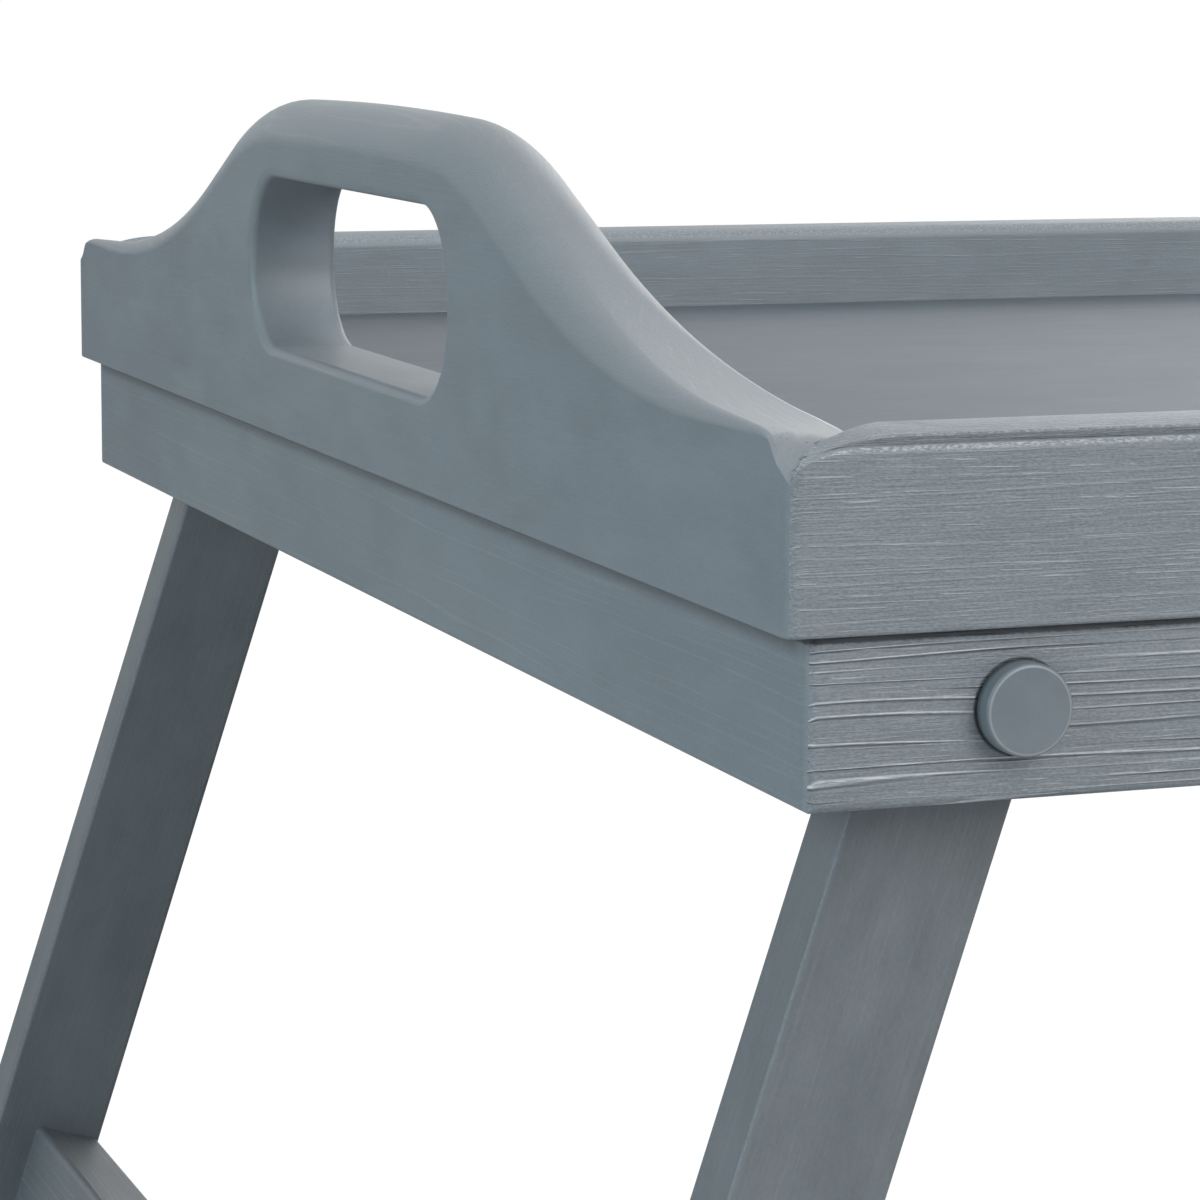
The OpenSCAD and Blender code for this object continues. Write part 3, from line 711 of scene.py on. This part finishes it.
def painted_bamboo(name, colours, paint, turn, look, shade_and_pits=None, highlighted=None):
    """Paint over bamboo: the strips' fibres stand out as thin ridges along the grain."""
    finish = new_finish(name)
    place = finish.along(turn)
    noise = {part: finish.noise(place, *values) for part, values in BAMBOO_NOISE.items()}
    broken = finish.ramp(noise["breaks"], *BREAKS_SHOW)
    ridge_rows = finish.rows(place, look["slant"], *RIDGE_ROWS)
    ridge_here = finish.ramp(noise["ridges"], *RIDGES_SHOW)
    ridge = finish.lines(ridge_rows, RIDGE_WIDTH) * ridge_here
    ridge *= broken * RIDGE_BREAKS + (1 - RIDGE_BREAKS)
    groove = finish.lines(ridge_rows, GROOVE_WIDTH, GROOVE_FALL) * ridge_here * look["ridge"]
    thread_rows = finish.rows(place, look["slant"], *THREAD_ROWS)
    thread = finish.lines(thread_rows, THREAD_WIDTH) * finish.ramp(noise["threads"], *THREADS_SHOW)
    thread *= broken * look["thread"]

    shade = (noise["cloud"] - MIDDLE) * (CLOUD_SHADE * look["mottle"]) + MIDDLE
    shade += (noise["patch"] - MIDDLE) * (PATCH_SHADE * look["mottle"])
    shade += (noise["hair"] - MIDDLE) * (HAIR_SHADE * look["hair"])
    shade += (noise["speck"] - MIDDLE) * (SPECK_SHADE * look["hair"])
    base = mixed(paint, BLACK, 1 - look["tone"])
    tone = finish.blend(finish.ramp(shade, *SHADE_RANGE), darker(base, DARK_SHADE),
                        paler(base, PALE_SHADE))
    # Painted shade: the groove under each ridge is darkened
    tone = finish.blend(groove * GROOVE_SHADE, tone, darker(base, GROOVE_DARK))
    # Edges that look up are paled as wear and as painted highlight
    worn_and_lit_edge = finish.ramp(finish.edges(turn), *TURNED_AWAY)
    worn_and_lit_edge *= finish.ramp(noise["wear_and_highlight"], *WORN_AND_LIT_EDGES_SHOW)
    # Painted highlight on the tops of ridges and threads, with the edges above
    pale = ridge * (RIDGE_LIGHT * look["ridge"]) + thread * THREAD_LIGHT + worn_and_lit_edge * look["wear_and_highlight"]
    # Painted highlight as the caller gives it, such as an end board's inner rim
    if highlighted:
        pale += highlighted(finish) * finish.ramp(noise["wear_and_highlight"], *HIGHLIGHT_SHOW)
    tone = finish.blend(pale, tone, rgba(colours.paint_pale))
    # Painted shade in creases, along the seam and round the caps, and dark pits, as the caller gives them
    if shade_and_pits:
        dark = darker(colours.shade_and_pit_paint, CREVICE_DARK)
        tone = finish.blend(shade_and_pits(finish, noise["peel"]), tone, dark)

    height = ridge * (RIDGE_RISE * look["ridge"]) + groove * GROOVE_RISE + thread * THREAD_RISE
    height += noise["patch"] * PATCH_RISE
    for part, rise in (("hair", HAIR_RISE), ("speck", SPECK_RISE), ("peel", PEEL_RISE)):
        height += noise[part] * (rise * look["hair"])
    rough = (noise["patch"] - MIDDLE) * PATCH_GLOSS + (noise["hair"] - MIDDLE) * HAIR_GLOSS
    rough += ridge * RIDGE_GLOSS + look["rough"]
    return finish.surface(tone, rough, height, IOR=PAINT_IOR)


# Painted shadows, pits and painted highlights on rims, in millimetres from a face, the seam, a rail's top
# or a cap's side.
# Two numbers are where the mark starts and where it is full. Four are where it starts, is full,
# fades and ends.
SEAM_LINE = (-0.85, -0.5)
SEAM_SOFT = (-3.0, -0.2)
SEAM_SOFT_DEPTH = (3.0, 6.0)
CAP_RING = (0.45, 0.15)
CAP_RING_DEPTH = (4.0, 2.5)
PIT_HEIGHT = (-5, -4)
MITRE_PITS_OFF = (0.9, 0.2)
MITRE_PITS_ALONG = (22, 17)
ROUND_PITS_ALONG = (1.5, 4, 18, 30)
ROUND_PITS_DEPTH = (0.3, 0.9)
BEAD_STEP_DEPTH = (1.0, 1.25, 1.45, 1.75)
BEAD_STEP_HEIGHT = (-2.6, -2.1)
INNER_RIM_DEPTH = (-1.1, -0.8, -0.3, -0.05)
INNER_RIM_INSET = (15, 20, 46, 62)
INNER_RIM_HEIGHT = (-4, -3)
CAP_RIM = (-0.55, -0.42, -0.3, -0.2)
CAP_RIM_DEPTH = (-0.6, -0.4)
CAP_SIDE_DEPTH = (-1.5, -2.4)

# The pits' noise, where it starts to show a pit and shows it fully, and how strong the marks are
PIT_NOISE = ((1.3, 0.9, 1.0), 2.0, 0.6, (5.2, 0.6, 3.3))
MITRE_PITS_SHOW = (0.52, 0.60)
ROUND_PITS_SHOW = (0.66, 0.71)
PIT_STRENGTH = 0.8
SEAM_PEEL = 0.5
SEAM_SOFT_STRENGTH = 0.6
BEAD_STEP_STRENGTH = 0.3
INNER_RIM_STRENGTH = 1.6


def from_pivot(finish):
    """Distance in millimetres from the nearer pivot's middle, seen from the front."""
    x, _, z = finish.parts(finish.along())
    across = x.size() - PIVOT_X / MM
    rise = z - PIVOT_Z / MM
    return (across * across + rise * rise) ** 0.5


def depths(finish):
    """Millimetres in from the tray's end and long faces, and up from the seam under the tray."""
    x, y, z = finish.parts(finish.along())
    return HALF_L / MM - x.size(), HALF_D / MM - y.size(), z - SEAM / MM


def seam_shadow(finish, peel):
    """Painted shadow: a dark line where an apron meets the tray, a wider soft shade below it away from
    the long faces, and a dark ring round each cap.
    """
    from_side, height = depths(finish)[1:]
    line = finish.ramp(height + peel * SEAM_PEEL, *SEAM_LINE)
    soft = finish.ramp(height + peel, *SEAM_SOFT) * finish.ramp(from_side, *SEAM_SOFT_DEPTH)
    ring = finish.ramp(from_pivot(finish) - CAP_R / MM, *CAP_RING)
    ring *= finish.ramp(from_side, *CAP_RING_DEPTH)
    return line.or_more(soft * SEAM_SOFT_STRENGTH).or_more(ring)


def corner_pits(finish, _peel=None):
    """Small dark pits along the mitre and round it on a sanded corner."""
    from_end, from_side, height = depths(finish)
    off_mitre = (from_end * (RAIL_T / END_T) - from_side).size()
    along = from_end + from_side
    pits = finish.noise(finish.along(), *PIT_NOISE)
    on_mitre = finish.ramp(off_mitre, *MITRE_PITS_OFF) * finish.ramp(along, *MITRE_PITS_ALONG)
    on_mitre *= finish.ramp(pits, *MITRE_PITS_SHOW)
    round_it = finish.band(along, *ROUND_PITS_ALONG) * finish.ramp(pits, *ROUND_PITS_SHOW)
    for depth in (from_end, from_side):
        round_it *= finish.ramp(depth, *ROUND_PITS_DEPTH)
    near_top = finish.ramp(height - RAIL_H / MM, *PIT_HEIGHT)
    return on_mitre.or_more(round_it) * near_top * PIT_STRENGTH


def rail_shadow(finish, _peel):
    """Painted shade, a dark line in the small step beside a rail's bead, and the pits at its ends."""
    depth, height = depths(finish)[1:]
    step = finish.band(depth, *BEAD_STEP_DEPTH)
    step *= finish.ramp(height - RAIL_H / MM, *BEAD_STEP_HEIGHT) * BEAD_STEP_STRENGTH
    return step.or_more(corner_pits(finish))


def inner_rim(finish):
    """A painted highlight along the inner top edge of an end board beside a corner."""
    depth, inset, height = depths(finish)
    line = finish.band(depth - END_T / MM, *INNER_RIM_DEPTH) * finish.band(inset, *INNER_RIM_INSET)
    return line * finish.ramp(height - RAIL_H / MM, *INNER_RIM_HEIGHT) * INNER_RIM_STRENGTH


def cap_rim(finish):
    """A painted highlight on the rim round a cap's face, and a painted shadow low on its side."""
    depth = finish.parts(finish.along())[1].size() + CAP[0].y / MM
    rim = finish.band(from_pivot(finish) - CAP_R / MM, *CAP_RIM)
    return rim * finish.ramp(depth, *CAP_RIM_DEPTH), finish.ramp(depth, *CAP_SIDE_DEPTH)


# Plastic, zinc and beech: their noises, the shares of black and white in their shades, their
# roughness and its change, and their rises in millimetres
PLASTIC = {
    "fine": ((0.35, 0.35, 0.35), 3.0, 0.6), "cloud": ((4, 4, 4), 3.0, 0.55, (2.0, 5.0, 1.0)),
    "dark": 0.12, "pale": 0.05, "rough": 0.36, "gloss": 0.15, "fine_rise": 0.012, "cloud_rise": 0.03,
}
ZINC = {
    "scratch": ((0.12, 2.4, 0.12), 3.0, 0.6), "cloud": ((2.6, 2.6, 2.6), 4.0, 0.6, (4.0, 1.0, 7.0)),
    "dark": 0.25, "rough": 0.2, "gloss": 0.25, "scratch_rise": 0.008, "cloud_rise": 0.01,
}
BEECH = {
    "strand": ((14, 0.5, 0.5), 3.0, 0.6), "fleck": ((2.2, 0.3, 0.3), 1.0, 0.5, (5, 2, 8)),
    "flecks_show": (0.62, 0.7), "fleck_strength": 0.5, "fleck_dark": 0.55,
    "dark": 0.3, "pale": 0.12, "rough": 0.58, "gloss": 0.1, "strand_rise": 0.05, "fleck_rise": -0.03,
}

# A cap's painted rim highlight and painted shadow on its side: strength, and share of white or black
RIM_LIGHT = (0.35, 0.4)
SIDE_DARK = (0.6, 0.8)


def moulded_plastic(name, tone, rim=None):
    """Moulded plastic with a fine, even grain."""
    finish = new_finish(name)
    place = finish.along()
    fine = finish.noise(place, *PLASTIC["fine"])
    cloud = finish.noise(place, *PLASTIC["cloud"])
    shown = finish.blend(cloud, darker(tone, PLASTIC["dark"]), paler(tone, PLASTIC["pale"]))
    # Painted highlight on the cap's rim and painted shadow on its side
    if rim:
        light, dark = rim(finish)
        shown = finish.blend(light * RIM_LIGHT[0], shown, paler(tone, RIM_LIGHT[1]))
        shown = finish.blend(dark * SIDE_DARK[0], shown, darker(tone, SIDE_DARK[1]))
    height = fine * PLASTIC["fine_rise"] + cloud * PLASTIC["cloud_rise"]
    return finish.surface(shown, cloud * PLASTIC["gloss"] + PLASTIC["rough"], height)


def plated_steel(name, tone):
    """Bright zinc plating with fine turning marks and dull patches."""
    finish = new_finish(name)
    place = finish.along()
    scratch = finish.noise(place, *ZINC["scratch"])
    cloud = finish.noise(place, *ZINC["cloud"])
    shown = finish.blend(cloud, darker(tone, ZINC["dark"]), rgba(tone))
    height = scratch * ZINC["scratch_rise"] + cloud * ZINC["cloud_rise"]
    return finish.surface(shown, cloud * ZINC["gloss"] + ZINC["rough"], height, Metallic=1.0)


def bare_beech(name, tone):
    """Bare beech with short dark flecks along the grain."""
    finish = new_finish(name)
    place = finish.along(TURN_Y)
    strand = finish.noise(place, *BEECH["strand"])
    fleck = finish.ramp(finish.noise(place, *BEECH["fleck"]), *BEECH["flecks_show"])
    shown = finish.blend(strand, darker(tone, BEECH["dark"]), paler(tone, BEECH["pale"]))
    shown = finish.blend(fleck * BEECH["fleck_strength"], shown, darker(tone, BEECH["fleck_dark"]))
    height = strand * BEECH["strand_rise"] + fleck * BEECH["fleck_rise"]
    return finish.surface(shown, strand * BEECH["gloss"] + BEECH["rough"], height)


def dress(node, material):
    """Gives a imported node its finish."""
    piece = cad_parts[node]
    if not piece.material_slots:
        raise RuntimeError(f"{node} has no material slot")
    for slot in piece.material_slots:
        slot.material = material


# Pieces

class TRAYTABLE_OT_end_boards(bpy.types.Operator):
    """Make the two humped end boards with their handle slots"""

    bl_idname = "tray_table.end_boards"
    bl_label = "End boards"

    def execute(self, context):
        sizes = context.scene.tray_table_sizes
        colours = context.scene.tray_table_finish
        paint = painted_bamboo("end_board_paint", colours, colours.paint, TURN_Y, END_BOARD_GRAIN,
                               corner_pits, inner_rim)
        for side, sign in zip(SIDES, SIGNS):
            piece = self.board(f"board_{side}", sign, sizes)
            carve(piece, self.slot_cutter(sign, sizes))
            smooth(piece)
            hand_in(piece, paint, "tray", "frame_paint", f"end_board_{side}")
        return {"FINISHED"}

    def board(self, name, sign, sizes):
        """The board before its slot is cut."""
        rings = []
        for inset, end in stations(HALF_D, BOARD_STEP):
            ring = []
            for depth, height in end_section(HALF_D - inset, sizes):
                y = lean_in(inset, depth * RAIL_T / END_T)
                height = sanded(depth, y, height, sizes)
                x, y = ease_corner(depth, y, sizes.arris_r)
                ring.append(Vector((sign * (HALF_L - x), end * (HALF_D - y), SEAM + height)))
            rings.append(ring)
        return new_piece(name, *skin(rings))

    def slot_cutter(self, sign, sizes):
        """The handle slot, flared to its two rims."""
        ease = sizes.slot_ease
        near = [(ease, -CUT_OVER)]
        for i in range(RIM_STEPS + 1):
            turn = math.radians(90 * i / RIM_STEPS)
            near.append((ease * (1 - math.sin(turn)), ease * (1 - math.cos(turn))))
        far = [(grow, END_T - depth) for grow, depth in reversed(near)]
        rings = [self.slot_ring(grow, depth, sign, sizes) for grow, depth in near + far]
        return new_piece("slot_cutter", *skin(rings))

    def slot_ring(self, grow, depth, sign, sizes):
        """One ring of the slot: a rectangle with round corners."""
        cy = sizes.slot_l / 2 - sizes.slot_r
        cz = sizes.slot_h / 2 - sizes.slot_r
        middle = SEAM + sizes.slot_sill + sizes.slot_h / 2
        ring = []
        for qy, qz, start in ((1, 1, 0), (-1, 1, 90), (-1, -1, 180), (1, -1, 270)):
            centre = (qy * cy, middle + qz * cz)
            for y, z in arc(centre, sizes.slot_r + grow, start, start + 90, SLOT_STEPS):
                ring.append(Vector((sign * (HALF_L - depth), y, z)))
        return ring


class TRAYTABLE_OT_long_rails(bpy.types.Operator):
    """Make the two beaded long rails"""

    bl_idname = "tray_table.long_rails"
    bl_label = "Long rails"

    def execute(self, context):
        sizes = context.scene.tray_table_sizes
        colours = context.scene.tray_table_finish
        for face, sign in zip(FACES, SIGNS):
            paint = painted_bamboo(f"rail_paint_{face}", colours, colours.paint, TURN_X,
                                   RAIL_GRAINS[face], rail_shadow)
            piece = self.rail(f"beaded_rail_{face}", sign, sizes)
            smooth(piece)
            hand_in(piece, paint, "tray", "frame_paint", f"rail_{face}")
        return {"FINISHED"}

    def rail(self, name, sign, sizes):
        """The rail, which runs into the end boards' tops at its mitres."""
        section = rail_section(sizes)
        rings = []
        for inset, end in stations(HALF_L, RAIL_STEP):
            ring = []
            for depth, height in section:
                mitre = depth * END_T / RAIL_T
                x = lean_in(inset, mitre)
                height = meets_board(depth, height, x - mitre, sizes)
                height = sanded(x, depth, height, sizes)
                x, y = ease_corner(x, depth, sizes.arris_r)
                ring.append(Vector((end * (HALF_L - x), sign * (HALF_D - y), SEAM + height)))
            rings.append(ring)
        return new_piece(name, *skin(rings))


class TRAYTABLE_OT_aprons(bpy.types.Operator):
    """Finish the four aprons under the tray"""

    bl_idname = "tray_table.aprons"
    bl_label = "Aprons"

    def execute(self, context):
        colours = context.scene.tray_table_finish
        long_paint = painted_bamboo("long_apron_paint", colours, colours.paint, TURN_X,
                                    LONG_APRON_GRAIN, seam_shadow)
        end_paint = painted_bamboo("end_apron_paint", colours, colours.paint, TURN_Y,
                                   END_APRON_GRAIN, seam_shadow)
        for face in FACES:
            dress(f"apron_{face}", long_paint)
        for side in SIDES:
            dress(f"apron_{side}", end_paint)
        return {"FINISHED"}


class TRAYTABLE_OT_panel(bpy.types.Operator):
    """Finish the tray's panel"""

    bl_idname = "tray_table.panel"
    bl_label = "Tray panel"

    def execute(self, context):
        colours = context.scene.tray_table_finish
        dress("tray_panel", painted_bamboo("panel_paint", colours, colours.panel, TURN_X,
                                           PANEL_GRAIN))
        return {"FINISHED"}


class TRAYTABLE_OT_leg_frames(bpy.types.Operator):
    """Finish the legs and the crossbars between them"""

    bl_idname = "tray_table.leg_frames"
    bl_label = "Leg frames"

    def execute(self, context):
        colours = context.scene.tray_table_finish
        bar_paint = painted_bamboo("crossbar_paint", colours, colours.paint, TURN_Y, CROSSBAR_GRAIN)
        for side, sign in zip(SIDES, SIGNS):
            paint = painted_bamboo(f"leg_paint_{side}", colours, colours.paint,
                                   (0.0, UPRIGHT + sign * SPLAY, 0.0), LEG_GRAIN)
            for face in FACES:
                dress(f"leg_{face}_{side}", paint)
            dress(f"crossbar_{side}", bar_paint)
        return {"FINISHED"}


class TRAYTABLE_OT_pivots(bpy.types.Operator):
    """Finish the pivot bolts, caps, washers and lock nuts"""

    bl_idname = "tray_table.pivots"
    bl_label = "Pivots"

    def execute(self, context):
        colours = context.scene.tray_table_finish
        zinc = plated_steel("zinc_plating", colours.zinc)
        cap = moulded_plastic("cap_moulding", colours.cap, cap_rim)
        nylon = moulded_plastic("nylon_moulding", colours.nylon)
        for side in SIDES:
            for face in FACES:
                place = f"{face}_{side}"
                dress(f"pivot_bolt_{place}", zinc)
                dress(f"nut_washer_{place}", zinc)
                dress(f"lock_nut_{place}", zinc)
                dress(f"pivot_cap_{place}", cap)
                dress(f"pivot_washer_{place}", nylon)
        return {"FINISHED"}


class TRAYTABLE_OT_joinery(bpy.types.Operator):
    """Finish the screws, corner nails and dowels inside the joints"""

    bl_idname = "tray_table.joinery"
    bl_label = "Joinery"

    def execute(self, context):
        colours = context.scene.tray_table_finish
        zinc = plated_steel("screw_plating", colours.zinc)
        beech = bare_beech("dowel_beech", colours.beech)
        for node in ("frame_screws", "corner_nails_tray", "corner_nails_apron"):
            dress(node, zinc)
        for side in SIDES:
            dress(f"bar_dowels_{side}", beech)
        return {"FINISHED"}


# Stage

SENSOR_WIDTH = 36.0
CLIPS = (0.02, 200.0)

# Each soft square lamp: its place and width in metres, the setting with its power, and its colour
LAMPS = {
    "overhead_lamp": ((0.0, 0.3, 2.1), 2.0, "top", WHITE),
    "high_front_lamp": ((0.45, -1.65, 1.3), 1.3, "key", WHITE),
    "left_lamp": ((-1.3, -0.35, 0.7), 0.9, "side", (0.70, 0.91, 1.0)),
    "back_lamp": ((1.6, 1.7, 1.3), 1.6, "back", WHITE),
}

# Rays that see the room white, and the floor: half width in metres, grey, glow and glow's share
WHITE_RAYS = ("Is Camera Ray", "Is Glossy Ray", "Is Transmission Ray")
FLOOR_HALF = 60.0
FLOOR_GREY = (0.78, 0.78, 0.78)
FLOOR_GLOW = 1.085
FLOOR_SHARE = 0.92


class TRAYTABLE_OT_stage(bpy.types.Operator):
    """Set the camera, the lamps and the pale floor"""

    bl_idname = "tray_table.stage"
    bl_label = "Stage"

    def execute(self, context):
        stage = context.scene.tray_table_stage
        self.camera(context, stage)
        for name, (place, width, setting, tone) in LAMPS.items():
            self.lamp(name, place, width, getattr(stage, setting), tone)
        self.room(context, stage)
        self.floor()
        context.scene.view_settings.view_transform = "Standard"
        return {"FINISHED"}

    def camera(self, context, stage):
        """Camera at the photograph's viewing angle."""
        yaw, pitch, roll = stage.yaw, stage.pitch, stage.roll
        ahead = Vector((math.sin(yaw) * math.cos(pitch), math.cos(yaw) * math.cos(pitch),
                        math.sin(pitch)))
        right = Vector((math.cos(yaw), -math.sin(yaw), 0.0))
        up = right.cross(ahead)
        turned_right = right * math.cos(roll) + up * math.sin(roll)
        turned_up = up * math.cos(roll) - right * math.sin(roll)
        data = bpy.data.cameras.new("camera")
        data.sensor_width = SENSOR_WIDTH
        data.lens = stage.lens
        data.clip_start, data.clip_end = CLIPS
        camera = put("camera", data)
        axes = Matrix((turned_right, turned_up, -ahead)).transposed()
        camera.matrix_world = Matrix.Translation(Vector(stage.eye)) @ axes.to_4x4()
        context.scene.camera = camera

    def lamp(self, name, place, width, energy, tone):
        """A soft square lamp that points at the tray."""
        data = bpy.data.lights.new(name, "AREA")
        data.shape = "SQUARE"
        data.size = width
        data.energy = energy
        data.color = tone
        lamp = put(name, data)
        ahead = Vector((0.0, 0.0, SEAM)) - Vector(place)
        lamp.location = place
        lamp.rotation_euler = ahead.to_track_quat("-Z", "Y").to_euler()

    def room(self, context, stage):
        """Even light from all round, white where the camera or a reflection sees it."""
        world = bpy.data.worlds.new("pale_room")
        context.scene.world = world
        finish = Finish(world)
        rays = [finish.node("ShaderNodeLightPath", output=ray) for ray in WHITE_RAYS]
        seen = rays[0].or_more(rays[1]).or_more(rays[2])
        lit, white = [
            finish.node("ShaderNodeBackground", None, {"Color": rgba(WHITE), "Strength": strength})
            for strength in (stage.sky, 1.0)
        ]
        both = finish.node("ShaderNodeMixShader", None, {0: seen, 1: lit, 2: white})
        finish.close(both, "ShaderNodeOutputWorld")

    def floor(self):
        """A wide pale floor that keeps a faint shadow."""
        signs = ((-1, -1), (1, -1), (1, 1), (-1, 1))
        corners = [(x * FLOOR_HALF, y * FLOOR_HALF, 0) for x, y in signs]
        mesh = bpy.data.meshes.new("floor")
        mesh.from_pydata(corners, [], [(0, 1, 2, 3)])
        floor = put("floor", mesh)
        finish = new_finish("pale_floor")
        seen = finish.node("ShaderNodeLightPath", output="Is Camera Ray")
        board = finish.node("ShaderNodeBsdfDiffuse", None, {"Color": rgba(FLOOR_GREY)})
        glow = finish.node("ShaderNodeEmission", None, {"Color": rgba(WHITE), "Strength": FLOOR_GLOW})
        shown = finish.node("ShaderNodeMixShader", None, {0: seen * FLOOR_SHARE, 1: board, 2: glow})
        mesh.materials.append(finish.close(shown))


STEPS = (
    TRAYTABLE_OT_end_boards,
    TRAYTABLE_OT_long_rails,
    TRAYTABLE_OT_aprons,
    TRAYTABLE_OT_panel,
    TRAYTABLE_OT_leg_frames,
    TRAYTABLE_OT_pivots,
    TRAYTABLE_OT_joinery,
    TRAYTABLE_OT_stage,
)


class TRAYTABLE_PT_sidebar(bpy.types.Panel):
    """Lists the steps that dress the tray table"""

    bl_idname = "TRAYTABLE_PT_sidebar"
    bl_label = "Tray Table"
    bl_space_type = "VIEW_3D"
    bl_region_type = "UI"
    bl_category = "Tray Table"

    def draw(self, context):
        for step in STEPS:
            self.layout.operator(step.bl_idname)
        for group in GROUPS.values():
            settings = getattr(context.scene, group)
            for name in settings.bl_rna.properties.keys():
                if name not in ("rna_type", "name"):
                    self.layout.prop(settings, name)


GROUPS = {
    TrayTableSizes: "tray_table_sizes",
    TrayTableFinish: "tray_table_finish",
    TrayTableStage: "tray_table_stage",
}


def register():
    for group, name in GROUPS.items():
        bpy.utils.register_class(group)
        setattr(bpy.types.Scene, name, PointerProperty(type=group))
    for step in STEPS:
        bpy.utils.register_class(step)
    bpy.utils.register_class(TRAYTABLE_PT_sidebar)


def unregister():
    bpy.utils.unregister_class(TRAYTABLE_PT_sidebar)
    for step in reversed(STEPS):
        bpy.utils.unregister_class(step)
    for group, name in reversed(GROUPS.items()):
        delattr(bpy.types.Scene, name)
        bpy.utils.unregister_class(group)


def main():
    register()
    bpy.ops.tray_table.stage()
    bpy.ops.tray_table.end_boards()
    bpy.ops.tray_table.long_rails()
    bpy.ops.tray_table.aprons()
    bpy.ops.tray_table.panel()
    bpy.ops.tray_table.leg_frames()
    bpy.ops.tray_table.pivots()
    bpy.ops.tray_table.joinery()


if __name__ == "__main__":
    main()
